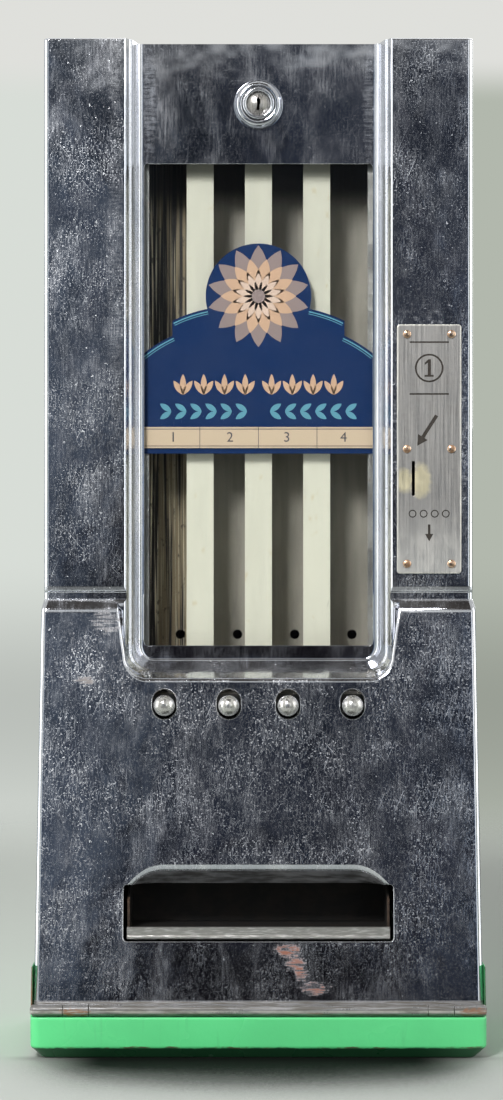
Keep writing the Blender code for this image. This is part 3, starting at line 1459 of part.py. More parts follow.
def build():
    make_base()
    make_cabinet()
    make_corner_angles()
    cover = make_front_cover()
    beads = make_hinge()
    plate, plate_screws, plate_bores = make_coin_plate()
    cut(cover, plate_bores)
    lock_fixed, lock_turning, cam_front = make_lock()
    make_lock_catch(cam_front)
    throat = make_coin_throat()
    make_coin_chute()
    make_coin_box()
    make_magazine()
    make_bed()
    make_coin_lock()
    for index in range(len(COLUMN_X)):
        make_plunger(index)
        make_spring(index)
    make_tray()
    door = joint_empty("door_axis", (0, HINGE_Y - FACE_Y, HINGE_Z))
    window = make_window()
    lock = joint_empty("lock_axis", (0, RECESS_DEPTH, LOCK_Z))
    carry(lock, lock_turning)
    carry(door, (cover, plate, throat, lock, *beads, *plate_screws, *window, *lock_fixed))


build()
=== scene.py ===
import math

import bmesh
import bpy
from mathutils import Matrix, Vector


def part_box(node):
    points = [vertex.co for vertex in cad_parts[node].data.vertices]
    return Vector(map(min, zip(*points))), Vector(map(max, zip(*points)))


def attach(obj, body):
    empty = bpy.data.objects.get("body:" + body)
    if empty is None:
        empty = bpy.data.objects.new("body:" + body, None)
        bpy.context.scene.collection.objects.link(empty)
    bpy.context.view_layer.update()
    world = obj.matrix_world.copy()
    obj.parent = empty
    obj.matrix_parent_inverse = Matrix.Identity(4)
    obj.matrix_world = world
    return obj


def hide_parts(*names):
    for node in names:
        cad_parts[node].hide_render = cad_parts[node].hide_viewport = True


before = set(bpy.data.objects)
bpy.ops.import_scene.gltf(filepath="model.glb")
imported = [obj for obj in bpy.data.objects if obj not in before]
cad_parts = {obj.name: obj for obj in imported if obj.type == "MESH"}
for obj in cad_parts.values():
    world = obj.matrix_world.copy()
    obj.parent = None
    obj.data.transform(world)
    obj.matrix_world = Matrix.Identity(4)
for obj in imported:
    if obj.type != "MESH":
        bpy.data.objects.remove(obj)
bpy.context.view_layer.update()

# Driving dimensions of the part
DOOR_RIM = 0.024
DOOR_WALL = 0.002
DOOR_CORNER = 0.003
UPPER_HALF = 0.12025
SHOULDER_HALF = 0.12175
FOOT_HALF = 0.1235
FOOT_F = -0.0325                # F counts depth behind the pilasters' face
FACE_FOOT_F = -0.0317
FACE_FOOT_Z = 0.030
FOOT_LEDGE = 0.0008
BODY_TOP = 0.2505
SHOULDER_STEP = 0.002
SHOULDER_ROUND = 0.0035
SHOULDER_FALL = 0.0058          # the sloping top of the lower body
SHOULDER_ROLL = 0.0018
LEDGE_DEPTH = 0.0008
GROOVE_HEIGHT = 0.0042
GROOVE_DEPTH = 0.0015
PILASTER_BEVEL = 0.003
BEVEL_FOOT = 0.0008
BEVEL_DEPTH = 0.00050
TOP_ROUND = 0.0012
RECESS_DEPTH = 0.020
RECESS_SHOULDER_HALF = 0.0790
WINDOW_HALF = 0.0644
WINDOW_BOTTOM = 0.2240
WINDOW_TOP = 0.4970
WINDOW_CORNER = 0.0022
OPENING_HALF = 0.0745
OPENING_BOTTOM = 0.0626
OPENING_TOP = 0.0934
OPENING_CORNER = 0.0022
SCOOP_TOP = 0.1047
SCOOP_HALF = 0.0729
KNOB_HOLE_HALF = 0.0065
KNOB_HOLE_TALL = 0.0080
KNOB_HOLE_RISE = 0.0007
LOCK_HOLE_RADIUS = 0.0095
OVERRUN = 0.004                 # how far cutters reach past what they cut

# Places taken from the frame
COVER_LOW, COVER_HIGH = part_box("front_cover")
FACE_Y = COVER_HIGH.y - DOOR_RIM
TOP_Z = COVER_HIGH.z
FOOT_Z = COVER_LOW.z

# The photograph's frame
PHOTO_TALL_PX = 1100
PHOTO_WIDE_PX = 503
AXIS_PX = 258.4                 # the machine's middle line
HORIZON_PX = 545
METRES_PER_PX = 0.00056         # at the pilasters' face
CAMERA_DISTANCE = 1.600
CAMERA_HEIGHT = 0.281
SENSOR_MM = 36


# Geometry helpers

WELD = 0.000002
SMOOTH_ANGLE = math.radians(32)
FLAT_WEIGHT = 80
CURVE_REACH = 0.48              # the most of a side that a corner's curve takes up
ROLL_FRONT = 0.6                # a rounded rim's cutter starts in front of the face and wider, in radii
ROLL_OPEN = 2.2
RIM_STEPS = 5
ROUND_STEPS = 6


def place_y(depth):
    """The Y of a depth behind the pilasters' face."""
    return FACE_Y + depth


def at_depth(outline, depth):
    """An outline of (x, z) points put at one depth."""
    return [(x, place_y(depth), z) for x, z in outline]


def face_front(height):
    """The depth of the lower body's sloping face at a height."""
    share = (height - FACE_FOOT_Z) / (BODY_TOP - SHOULDER_ROUND - FACE_FOOT_Z)
    return FACE_FOOT_F + share * (-SHOULDER_STEP - FACE_FOOT_F)


def box_middle(node):
    low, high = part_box(node)
    return (low + high) / 2


def arc(centre, radius, start, end, steps):
    """Points of an arc, with its angles in degrees."""
    points = []
    for index in range(steps + 1):
        angle = math.radians(start + (end - start) * index / steps)
        points.append((centre[0] + radius * math.cos(angle), centre[1] + radius * math.sin(angle)))
    return points


def disc(centre, radius, steps=28):
    return arc(centre, radius, 0, 360, steps)[:-1]


def quarter(steps, first=1):
    """Pairs of 1 - cosine and 1 - sine through a quarter turn."""
    turns = [math.pi / 2 * index / steps for index in range(first, steps + 1)]
    return [(1 - math.cos(turn), 1 - math.sin(turn)) for turn in turns]


def bent(start, control, end, steps=8):
    """Points of a quadratic curve."""
    start, control, end = Vector(start), Vector(control), Vector(end)
    shares = [index / steps for index in range(steps + 1)]
    return [start * (1 - t) ** 2 + control * (2 * t * (1 - t)) + end * t ** 2 for t in shares]


def rounded(points, size, steps):
    """A line of points with each inner corner replaced by a curve that starts a size before it."""
    result = [Vector(points[0])]
    for before, corner, after in zip(points, points[1:], points[2:]):
        corner = Vector(corner)
        back = Vector(before) - corner
        ahead = Vector(after) - corner
        start = corner + back * min(CURVE_REACH, size / back.length)
        end = corner + ahead * min(CURVE_REACH, size / ahead.length)
        result += bent(start, corner, end, steps)
    result.append(Vector(points[-1]))
    return result


def rounded_box(half_width, low, high, radius, steps=8, middle=0):
    """A rectangle with round corners, about a middle line."""
    left = middle - half_width + radius
    right = middle + half_width - radius
    points = arc((left, low + radius), radius, 180, 270, steps)
    points += arc((right, low + radius), radius, 270, 360, steps)
    points += arc((right, high - radius), radius, 0, 90, steps)
    points += arc((left, high - radius), radius, 90, 180, steps)
    return points


def grown(outline, amount, closed=False):
    """A line of (x, z) points moved to its right-hand side."""
    result = []
    count = len(outline)
    for index, (x, z) in enumerate(outline):
        before = outline[index - 1 if closed else max(0, index - 1)]
        after = outline[(index + 1) % count if closed else min(count - 1, index + 1)]
        along = Vector((after[0] - before[0], after[1] - before[1])).normalized()
        result.append((x + along.y * amount, z - along.x * amount))
    return result


def roll(radius, steps):
    """(depth, growth) pairs of a rounded edge, from in front of a face to its wall."""
    pairs = [(-radius * ROLL_FRONT, radius * ROLL_OPEN)]
    return pairs + [(radius * depth, radius * growth) for depth, growth in quarter(steps)]


def add_object(name, data):
    item = bpy.data.objects.new(name, data)
    bpy.context.scene.collection.objects.link(item)
    return item


def mesh_object(name, bm):
    mesh = bpy.data.meshes.new(name)
    bm.to_mesh(mesh)
    bm.free()
    return add_object(name, mesh)


def make_object(name, bm):
    """An object of a closed mesh, welded, with its faces turned outwards."""
    bmesh.ops.remove_doubles(bm, verts=bm.verts, dist=WELD)
    bmesh.ops.recalc_face_normals(bm, faces=bm.faces)
    return mesh_object(name, bm)


def loft(name, sections):
    """A solid through closed sections of equally many points."""
    bm = bmesh.new()
    rings = [[bm.verts.new(point) for point in section] for section in sections]
    count = len(rings[0])
    for ring, following in zip(rings, rings[1:]):
        for index in range(count):
            after = (index + 1) % count
            bm.faces.new((ring[index], ring[after], following[after], following[index]))
    bm.faces.new(rings[0])
    bm.faces.new(rings[-1])
    return make_object(name, bm)


def prism(name, outline, low_f, high_f):
    """An outline of (x, z) points extruded between two depths."""
    return loft(name, [at_depth(outline, low_f), at_depth(outline, high_f)])


def turned(name, profile, place, steps=48, closed=False, axis="front"):
    """A profile of (radius, height) points turned about an axis through a place."""
    bm = bmesh.new()
    rings = []
    for radius, height in profile:
        ring = []
        for index in range(1 if radius == 0 else steps):
            angle = 2 * math.pi * index / steps
            u = radius * math.cos(angle)
            v = radius * math.sin(angle)
            offset = (u, -height, v) if axis == "front" else (height, u, v)
            ring.append(bm.verts.new(Vector(place) + Vector(offset)))
        rings.append(ring)
    pairs = list(zip(rings, rings[1:]))
    if closed:
        pairs.append((rings[-1], rings[0]))
    for first, second in pairs:
        for index in range(steps):
            after = (index + 1) % steps
            corners = []
            for ring, number in ((first, index), (first, after), (second, after), (second, index)):
                vertex = ring[number % len(ring)]
                if vertex not in corners:
                    corners.append(vertex)
            if len(corners) > 2:
                bm.faces.new(corners)
    return make_object(name, bm)


def edge_cutter(name, outline, edge, depth_of, through):
    """A hole's cutter square to a face, with a rounded rim."""
    sections = []
    for depth, growth in roll(edge, RIM_STEPS) + [(through, 0.0)]:
        flat = grown(outline, growth, closed=True)
        sections.append([(x, place_y(depth_of(z) + depth), z) for x, z in flat])
    return loft(name, sections)


def boolean(target, cutter, operation="DIFFERENCE"):
    """Combine two solids for good, with the exact solver."""
    modifier = target.modifiers.new("combine", "BOOLEAN")
    modifier.operation = operation
    modifier.solver = "EXACT"
    modifier.object = cutter
    if cutter.data.materials:
        modifier.material_mode = "TRANSFER"
    bpy.context.view_layer.update()
    graph = bpy.context.evaluated_depsgraph_get()
    mesh = bpy.data.meshes.new_from_object(target.evaluated_get(graph))
    target.modifiers.clear()
    target.data = mesh
    bpy.data.objects.remove(cutter, do_unlink=True)


def smooth(piece):
    """Smooth shading with sharp edges, weighted so that flat faces stay flat."""
    piece.data.shade_smooth()
    piece.data.set_sharp_from_angle(angle=SMOOTH_ANGLE)
    modifier = piece.modifiers.new("normals", "WEIGHTED_NORMAL")
    modifier.keep_sharp = True
    modifier.weight = FLAT_WEIGHT
    return piece


def dress(piece, material, body, slot, *nodes):
    """Give a piece its material, its body and the nodes that it stands for. Its slot is not used."""
    if not piece.data.materials:
        piece.data.materials.append(material)
    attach(piece, body)
    if nodes:
        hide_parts(*nodes)


# Material helpers

CLOUDS = (0.35, 0.65)           # the noise's middle, stretched to soft clouds


class Value:
    """What a node puts out, with the arithmetic of math nodes."""

    def __init__(self, tree, socket):
        self.tree = tree
        self.socket = socket

    def math(self, operation, other=0.5, clamp=False):
        node = self.tree.nodes.new("ShaderNodeMath")
        node.operation = operation
        node.use_clamp = clamp
        feed(node.inputs[0], self)
        feed(node.inputs[1], other)
        return Value(self.tree, node.outputs["Value"])

    def __add__(self, other):
        return self.math("ADD", other)

    def __sub__(self, other):
        return self.math("SUBTRACT", other)

    def __mul__(self, other):
        return self.math("MULTIPLY", other)

    def __abs__(self):
        return self.math("ABSOLUTE")

    def most(self, other):
        """The larger of two values."""
        return self.math("MAXIMUM", other)

    def ramp(self, low, high, bottom=0.0, top=1.0):
        """Stretched smoothly from between low and high to between bottom and top."""
        node = self.tree.nodes.new("ShaderNodeMapRange")
        node.interpolation_type = "SMOOTHSTEP"
        sockets = ("From Min", "From Max", "To Min", "To Max")
        for name, number in zip(sockets, (low, high, bottom, top)):
            node.inputs[name].default_value = number
        feed(node.inputs["Value"], self)
        return Value(self.tree, node.outputs["Result"])

    def fall(self, low, high):
        """1 below low and 0 above high."""
        return self.ramp(low, high, 1.0, 0.0)

    def between(self, bottom, top):
        """A mask as a share of the way from bottom to top."""
        return self.ramp(0.0, 1.0, bottom, top)


def feed(socket, value):
    """Link a value to a socket, or set the socket to a number or a colour."""
    if isinstance(value, Value):
        value.tree.links.new(value.socket, socket)
    else:
        socket.default_value = (*value, 1) if isinstance(value, tuple) else value


def new_material(name):
    material = bpy.data.materials.new(name)
    material.use_nodes = True
    tree = material.node_tree
    return material, tree, tree.nodes["Principled BSDF"]


def look(fill):
    """Turn a function that fills a material's nodes into one that makes the named material."""
    def make(name, *choices, **options):
        material, tree, shader = new_material(name)
        fill(tree, shader, *choices, **options)
        return material
    return make


def object_place(tree, **settings):
    """Object coordinates, counted from a location in steps of a scale."""
    source = tree.nodes.new("ShaderNodeTexCoord")
    mapping = tree.nodes.new("ShaderNodeMapping")
    mapping.vector_type = "TEXTURE"
    for name, value in settings.items():
        mapping.inputs[name].default_value = value
    tree.links.new(source.outputs["Object"], mapping.inputs["Vector"])
    return mapping.outputs["Vector"]


def noise(tree, size, detail, turn=0, offset=(0, 0, 0), distortion=0.0):
    """Noise with grains of a size, turned by degrees in the front's plane."""
    node = tree.nodes.new("ShaderNodeTexNoise")
    node.inputs["Scale"].default_value = 1.0
    node.inputs["Detail"].default_value = detail
    node.inputs["Distortion"].default_value = distortion
    scale = size if isinstance(size, tuple) else (size,) * 3
    vector = object_place(tree, Location=offset, Rotation=(0, math.radians(turn), 0), Scale=scale)
    tree.links.new(vector, node.inputs["Vector"])
    return Value(tree, node.outputs["Fac"])


def length(tree, vector):
    node = tree.nodes.new("ShaderNodeVectorMath")
    node.operation = "LENGTH"
    tree.links.new(vector, node.inputs[0])
    return Value(tree, node.outputs["Value"])


def axis(tree, letter, space="Object"):
    """One coordinate."""
    source = tree.nodes.new("ShaderNodeTexCoord")
    split = tree.nodes.new("ShaderNodeSeparateXYZ")
    tree.links.new(source.outputs[space], split.inputs["Vector"])
    return Value(tree, split.outputs[letter])


def scaled(tone, factor):
    return tuple(part * factor for part in tone)


def mixed(factor, first, second):
    """A colour between two, each a value or three numbers."""
    node = factor.tree.nodes.new("ShaderNodeMix")
    node.data_type = "RGBA"
    feed(node.inputs["Factor"], factor)
    for name, value in (("A", first), ("B", second)):
        feed([s for s in node.inputs if s.name == name and s.type == "RGBA"][0], value)
    return Value(factor.tree, [s for s in node.outputs if s.type == "RGBA"][0])


def wire(shader, colour, rough, metal=None, relief=None, distance=0.0):
    """Drive a shader's colour, roughness and metal, and its bumps of a height in metres."""
    feed(shader.inputs["Base Color"], colour)
    feed(shader.inputs["Roughness"], rough)
    if metal is not None:
        feed(shader.inputs["Metallic"], metal)
    if relief is not None:
        node = relief.tree.nodes.new("ShaderNodeBump")
        node.inputs["Distance"].default_value = distance
        node.inputs["Strength"].default_value = 1.0
        feed(node.inputs["Height"], relief)
        feed(shader.inputs["Normal"], Value(relief.tree, node.outputs["Normal"]))


def see_through(tree, shader, factor):
    """Let a factor turn the surface clear."""
    clear = tree.nodes.new("ShaderNodeBsdfTransparent")
    blend = tree.nodes.new("ShaderNodeMixShader")
    feed(blend.inputs["Fac"], factor)
    tree.links.new(shader.outputs["BSDF"], blend.inputs[1])
    tree.links.new(clear.outputs["BSDF"], blend.inputs[2])
    output = [node for node in tree.nodes if node.type == "OUTPUT_MATERIAL"][0]
    tree.links.new(blend.outputs["Shader"], output.inputs["Surface"])


def spot(tree, centre, reach, ragged=0.5):
    """A soft ragged mask round an (x, z) place on the door's front."""
    vector = object_place(tree, Location=(centre[0], FACE_Y, centre[1]), Scale=(reach[0], 1.0, reach[1]))
    edge = noise(tree, SPOT_GRAIN, 4.0) * ragged
    total = length(tree, vector) + edge
    return total.fall(1.0 - SPOT_SOFT + ragged / 2, 1.0 + ragged / 2)


# Chrome

SCRATCH_LAYERS = (
    # width, length, turn in degrees, low and high threshold, weight
    (0.00045, 0.0110, 2, 0.60, 0.72, 0.60),
    (0.00042, 0.0080, -21, 0.63, 0.74, 0.60),
    (0.00045, 0.0130, 33, 0.66, 0.76, 0.65),
    (0.00042, 0.0100, 14, 0.64, 0.75, 0.60),
    (0.00045, 0.0060, 87, 0.66, 0.76, 0.55),
    (0.00060, 0.0420, 24, 0.72, 0.77, 0.80),
    (0.00060, 0.0360, -40, 0.73, 0.78, 0.80),
)
SPECK_SIZE = 0.0010
GRAIN_SIZE = (0.0008, 0.0040, 0.0030)
PATCH_SIZE = 0.026
SPOT_GRAIN = 0.0030
SPOT_SOFT = 0.5
COPPER = (0.290, 0.105, 0.060)
BROWN = (0.110, 0.070, 0.050)
RUST = (0.260, 0.110, 0.045)
# the tone of painted bluish reflections on the panel's dished edges
BLUE_REFLECTION = (0.180, 0.250, 0.370)
HAZE = (0.560, 0.565, 0.580)
MARKS = (0.74, 0.75, 0.77)
FOOT_DULL = (0.110, 0.101, 0.088)
# the tone of a painted highlight along the beads' tops
BEAD_HIGHLIGHT = (0.500, 0.480, 0.435)
BEAD_HIGHLIGHT_Z = 0.0257            # a painted highlight along the hinge beads' tops
# painted shade: near black on the scoop's slope and round the opening
SCOOP_SHADE = (0.014, 0.012, 0.011)
SCOOP_SHADE_FROM = 0.0010       # behind the sloping face
CHROME_DARK = (0.50, 0.52, 0.57)
CHROME_LIGHT = (0.64, 0.65, 0.69)
CHROME_DENT = 0.0004
DOOR_SPOTS = (
    # centre as (x, z), reach as (x, z), colour, strength
    ((0.0960, 0.3350), (0.0245, 0.0770), HAZE, 0.28),
    # painted reflections of a bluish thing at the top panel's dished edges
    ((-0.0615, 0.5300), (0.0050, 0.0420), BLUE_REFLECTION, 0.13),
    ((0.0625, 0.5300), (0.0040, 0.0420), BLUE_REFLECTION, 0.10),
    ((-0.0800, 0.4450), (0.0050, 0.1650), HAZE, 0.10),
    ((-0.0850, 0.2385), (0.0110, 0.0085), BROWN, 0.45),
    ((-0.0970, 0.2055), (0.0065, 0.0032), BROWN, 0.70),
    ((0.0161, 0.0580), (0.0082, 0.0046), COPPER, 0.95),
    ((0.0202, 0.0508), (0.0062, 0.0058), COPPER, 0.85),
    ((0.0235, 0.0450), (0.0040, 0.0054), COPPER, 0.85),
    ((0.0310, 0.0374), (0.0096, 0.0040), COPPER, 0.90),
)
BEAD_SPOTS = (
    ((-0.1000, 0.0255), (0.0090, 0.0030), RUST, 0.90),
    ((0.1180, 0.0255), (0.0100, 0.0030), RUST, 0.80),
    ((-0.0500, 0.0245), (0.0060, 0.0014), RUST, 0.60),
    ((0.0300, 0.0245), (0.0070, 0.0014), RUST, 0.50),
)
WALL_DEPTHS = (0.0040, 0.0195)  # the recess's moulded walls, dulled above the sill
WALL_FOOT = 0.2250
WALL_BLUR = (0.0010, 0.0004, 0.0100)    # in front, behind and above its foot
# How thickly the door is marked: where that changes, from what share to what share
WEAR_ACROSS = (-0.110, -0.030, 0.95, 0.70)
WEAR_FOOT = (0.045, 0.085, 0.56, 1.0)
WEAR_PANEL = (place_y(0.0190), place_y(0.0197), 1.0, 0.26)
WEAR_WALL = 0.12
WEAR_SHOULDER = (SHOULDER_FALL * 0.40, SHOULDER_FALL * 0.55, 0.30, 1.0)
# a painted highlight along the lower body's top edge
LEDGE_HIGHLIGHT = (0.0004, 0.0008, 0.32, 0.0)     # from the edge's height
LEDGE_HIGHLIGHT_DROP = 0.0003
LEDGE_HIGHLIGHT_FADE = 0.0030
SCOOP_SHADE_BLUR = 0.0006
SCOOP_SHADE_OUT = 0.0014              # how far it reaches round the opening
BEAD_HIGHLIGHT_REACH = (0.0004, 0.0012)
STEP_REACH = (FACE_FOOT_Z + 0.0002, FACE_FOOT_Z + 0.0012)
HAZE_SHARE = 0.20
MARKS_SHARE = 0.82
CHROME_ROUGH = 0.06


def worn_marks(tree, amount):
    """A mask of scratches and specks, thicker in some patches than in others."""
    patch = noise(tree, PATCH_SIZE, 3.0).ramp(0.38, 0.62, 0.30, 1.0)
    total = None
    for number, (width, reach, turn, low, high, weight) in enumerate(SCRATCH_LAYERS):
        size = (width, width * 6, reach)
        lines = noise(tree, size, 1.5, turn, (number * 0.37, 0, number * 0.11))
        lines = lines.ramp(low, high, 0.0, weight)
        total = total.most(lines) if total else lines
    specks = noise(tree, SPECK_SIZE, 1.5, offset=(0.2, 0.5, 0.9)).ramp(0.56, 0.70, 0.0, 0.90)
    grained = noise(tree, GRAIN_SIZE, 2.0, offset=(0.7, 0.1, 0.4)).ramp(0.50, 0.72, 0.0, 0.45)
    flecks = noise(tree, SPECK_SIZE * 2, 2.0, offset=(1.2, 0.5, 0.3)).ramp(0.71, 0.76)
    total = total.most(specks).most(grained) * patch
    return total.most(flecks).math("MULTIPLY", amount, clamp=True)


def rubbed_haze(tree, amount):
    """A mask of fine upright rubbing, in clouds that are thicker towards the left."""
    clouds = noise(tree, (0.016, 0.016, 0.030), 4.0, distortion=0.5).ramp(0.44, 0.70)
    fine = noise(tree, (0.0007, 0.0042, 0.0090), 3.0).ramp(0.36, 0.68, 0.15, 1.0)
    left = axis(tree, "X").ramp(-0.12, 0.06, 1.0, 0.55)
    return (clouds * fine * left).math("MULTIPLY", amount, clamp=True)


def moulded_walls(tree):
    """A mask of the recess's walls, between the pilasters' face and the panel."""
    depth = axis(tree, "Y")
    front, back = (place_y(depth_f) for depth_f in WALL_DEPTHS)
    before, behind, over = WALL_BLUR
    above = axis(tree, "Z").ramp(WALL_FOOT, WALL_FOOT + over)
    return depth.ramp(front - before, front) * depth.fall(back, back + behind) * above


def wear_spread(tree, wall):
    """How thickly the door is marked: most on the left, least on the moulding, the panel and the foot."""
    shoulder = abs(axis(tree, "Z") - (BODY_TOP - SHOULDER_FALL / 2))
    spread = axis(tree, "X").ramp(*WEAR_ACROSS) * axis(tree, "Z").ramp(*WEAR_FOOT)
    spread = spread * axis(tree, "Y").ramp(*WEAR_PANEL) * wall.between(1.0, WEAR_WALL)
    return spread * shoulder.ramp(*WEAR_SHOULDER)


def ledge_highlight(tree):
    """A mask of a painted highlight on the edge where the lower body's shoulders meet the groove."""
    line = abs(axis(tree, "Z") - (BODY_TOP - LEDGE_HIGHLIGHT_DROP)).ramp(*LEDGE_HIGHLIGHT)
    return line * abs(axis(tree, "X")).ramp(RECESS_SHOULDER_HALF, RECESS_SHOULDER_HALF + LEDGE_HIGHLIGHT_FADE)


def scoop_shade(tree):
    """A mask of painted shade on the slope inside the finger scoop and on the opening's edges."""
    height = axis(tree, "Z")
    lean = (face_front(BODY_TOP) - face_front(0)) / BODY_TOP
    behind = axis(tree, "Y") - (height * lean + place_y(face_front(0)))
    side = OPENING_HALF + SCOOP_SHADE_OUT
    foot = OPENING_BOTTOM - SCOOP_SHADE_OUT
    mask = behind.ramp(SCOOP_SHADE_FROM, SCOOP_SHADE_FROM + SCOOP_SHADE_BLUR)
    mask = mask * height.fall(SCOOP_TOP, SCOOP_TOP + SCOOP_SHADE_BLUR)
    mask = mask * height.ramp(foot - SCOOP_SHADE_BLUR, foot)
    mask = mask * abs(axis(tree, "X")).fall(side, side + SCOOP_SHADE_BLUR)
    return mask * noise(tree, (0.012, 0.004, 0.002), 3.0).ramp(0.3, 0.7, 0.95, 0.70)


def bead_highlight_line(tree):
    """A mask of the painted highlight along the beads' tops."""
    line = abs(axis(tree, "Z") - BEAD_HIGHLIGHT_Z).fall(*BEAD_HIGHLIGHT_REACH)
    return line * noise(tree, (0.009, 0.004, 0.003), 3.0).ramp(0.3, 0.6, 0.35, 1.0)


def dull_foot(tree):
    """A mask of the dull step along the door's foot."""
    step = axis(tree, "Z").fall(*STEP_REACH)
    return step * noise(tree, (0.012, 0.004, 0.0006), 3.0).ramp(0.36, 0.64, 0.70, 1.0)


def coated(look, mask, tone, rougher, duller):
    """A look of (colour, roughness, metal) under a coat of a tone, where a mask lets it be seen."""
    colour, rough, metal = look
    metal = metal.math("SUBTRACT", mask * duller, clamp=True)
    return mixed(mask, colour, tone), rough + mask * rougher, metal


def door_coats(tree, look, wall):
    """The door's dulled walls, its dull foot with a painted highlight along the beads, a painted highlight
    along the ledge and painted shade in the scoop.
    """
    colour, rough, metal = look
    look = colour, rough + wall * 0.12, metal - wall * 0.20
    # the dull foot, with a painted highlight along the beads' tops
    foot_tone = mixed(bead_highlight_line(tree), FOOT_DULL, BEAD_HIGHLIGHT)
    look = coated(look, dull_foot(tree), foot_tone, rougher=0.28, duller=0.88)
    # a pale painted highlight along the ledge's edge
    look = coated(look, ledge_highlight(tree), HAZE, rougher=0.25, duller=0.60)
    # painted shade on the scoop's slope and round the opening
    return coated(look, scoop_shade(tree), SCOOP_SHADE, rougher=0.30, duller=0.90)


@look
def chrome_material(tree, shader, wear, spots=(), door=False):
    """Worn chrome, dulled by haze and scratches, with stained spots and spots of painted reflection."""
    smudge = noise(tree, (0.022, 0.022, 0.050), 4.0, distortion=0.6).ramp(0.35, 0.70)
    haze = rubbed_haze(tree, HAZE_SHARE * wear)
    marks = worn_marks(tree, MARKS_SHARE * wear)
    if door:
        wall = moulded_walls(tree)
        marks = marks.math("MULTIPLY", wear_spread(tree, wall), clamp=True)
    colour = mixed(marks, mixed(smudge, CHROME_DARK, CHROME_LIGHT), MARKS)
    rough = smudge * 0.05 + CHROME_ROUGH + haze * 0.35 + marks * 0.35
    look = colour, rough, marks * -0.70 + 1.0 - haze
    if door:
        look = door_coats(tree, look, wall)
    hatch = noise(tree, (0.0090, 0.0090, 0.0010), 3.0).ramp(0.42, 0.56, 0.15, 1.0)
    for centre, reach, tone, strength in spots:
        patch = spot(tree, centre, reach, ragged=1.5) * strength * hatch
        look = coated(look, patch, tone, rougher=0.40, duller=0.85)
    wire(shader, *look, noise(tree, 0.030, 2.0) + marks * -0.05, CHROME_DENT)


# Other metals

RIVET_COPPER = ((0.72, 0.52, 0.38), (0.40, 0.24, 0.15))
LEVER_BRASS = ((0.80, 0.55, 0.28), (0.50, 0.33, 0.16))
STEEL = (0.42, 0.41, 0.39)
SPRING_STEEL = (0.50, 0.49, 0.47)
RUST_FLECK = (0.20, 0.09, 0.04)
# near black: filling in the engraving, and painted shade in the keyway
BLACK_FILL_AND_SHADE = (0.016, 0.012, 0.009)
# painted shade under the window's top edge
TOP_SHADE = (0.014, 0.012, 0.011)
MAGAZINE_TOP_SHADE = (0.026, 0.92)   # its reach down from the window's top, its strength
DIVIDER_TOP_SHADE = (0.0065, 0.60)
STREAK_END = -0.0410            # the left gum column lies left of this
GOLD_END = -0.0590              # the gold streaks are thick left of this
STREAK_EDGE = 0.0010
GOLD_EDGE = 0.0012
STREAK_TONES = ((0.009, 0.007, 0.006), (0.480, 0.385, 0.235), (0.800, 0.720, 0.540), (0.020, 0.013, 0.009))
MAGAZINE_TONES = ((0.310, 0.288, 0.246), (0.240, 0.223, 0.190))
TRAY_LIP_BACK = -0.0205
TRAY_RUST_REACH = 0.0070
# painted shade: the tray's inside is near black
TRAY_SHADE_TONES = ((0.0040, 0.0034, 0.0030), (0.0120, 0.0085, 0.0060))
TRAY_RUST_TONES = ((0.040, 0.027, 0.019), (0.095, 0.056, 0.034))
TRAY_LIP_TONES = ((0.40, 0.39, 0.37), (0.64, 0.63, 0.61))


@look
def nickel_material(tree, shader, tone, brushed, rough=0.30):
    """A dull plate with fine vertical brushing and dirt."""
    lines = noise(tree, (brushed, brushed, 0.03), 3.0)
    dirt = noise(tree, 0.009, 4.0).ramp(0.40, 0.66)
    colour = mixed(dirt, tone, scaled(tone, 0.72))
    colour = mixed(lines.ramp(0.35, 0.75, 0.0, 0.8), colour, scaled(tone, 1.22))
    wire(shader, colour, lines.ramp(0.3, 0.7, rough, rough + 0.14), dirt.between(0.85, 0.6), lines, 0.00006)


@look
def steel_material(tree, shader, tone, rust):
    """Plain sheet steel with flecks of rust."""
    cloud = noise(tree, 0.012, 4.0).ramp(*CLOUDS)
    flecks = noise(tree, 0.004, 5.0).ramp(0.58, 0.72, 0.0, rust)
    colour = mixed(flecks, mixed(cloud, tone, scaled(tone, 0.7)), RUST_FLECK)
    relief = noise(tree, 0.0012, 3.0)
    wire(shader, colour, cloud.between(0.30, 0.50), flecks.between(1.0, 0.2), relief, 0.00005)


@look
def brass_material(tree, shader, light, dark):
    cloud = noise(tree, 0.0030, 3.0).ramp(*CLOUDS)
    shader.inputs["Metallic"].default_value = 1.0
    relief = noise(tree, 0.0008, 2.0)
    wire(shader, mixed(cloud, light, dark), cloud.between(0.20, 0.42), None, relief, 0.00003)


@look
def dark_material(tree, shader, tone):
    """A near-black tone with fine mottling: old filling in the engraving, ink on the strip and painted shade
    in the keyway.
    """
    colour = mixed(noise(tree, 0.0015, 3.0), tone, scaled(tone, 2.6))
    wire(shader, colour, noise(tree, 0.002, 2.0).ramp(0.3, 0.7, 0.6, 0.85))


def shade_under_top(tree, colour, reach, strength):
    """Darken a colour under the window's top edge with painted shade."""
    top_shade_mask = axis(tree, "Z").ramp(WINDOW_TOP - reach, WINDOW_TOP - reach * 0.3, 0.0, strength)
    return mixed(top_shade_mask, colour, TOP_SHADE)


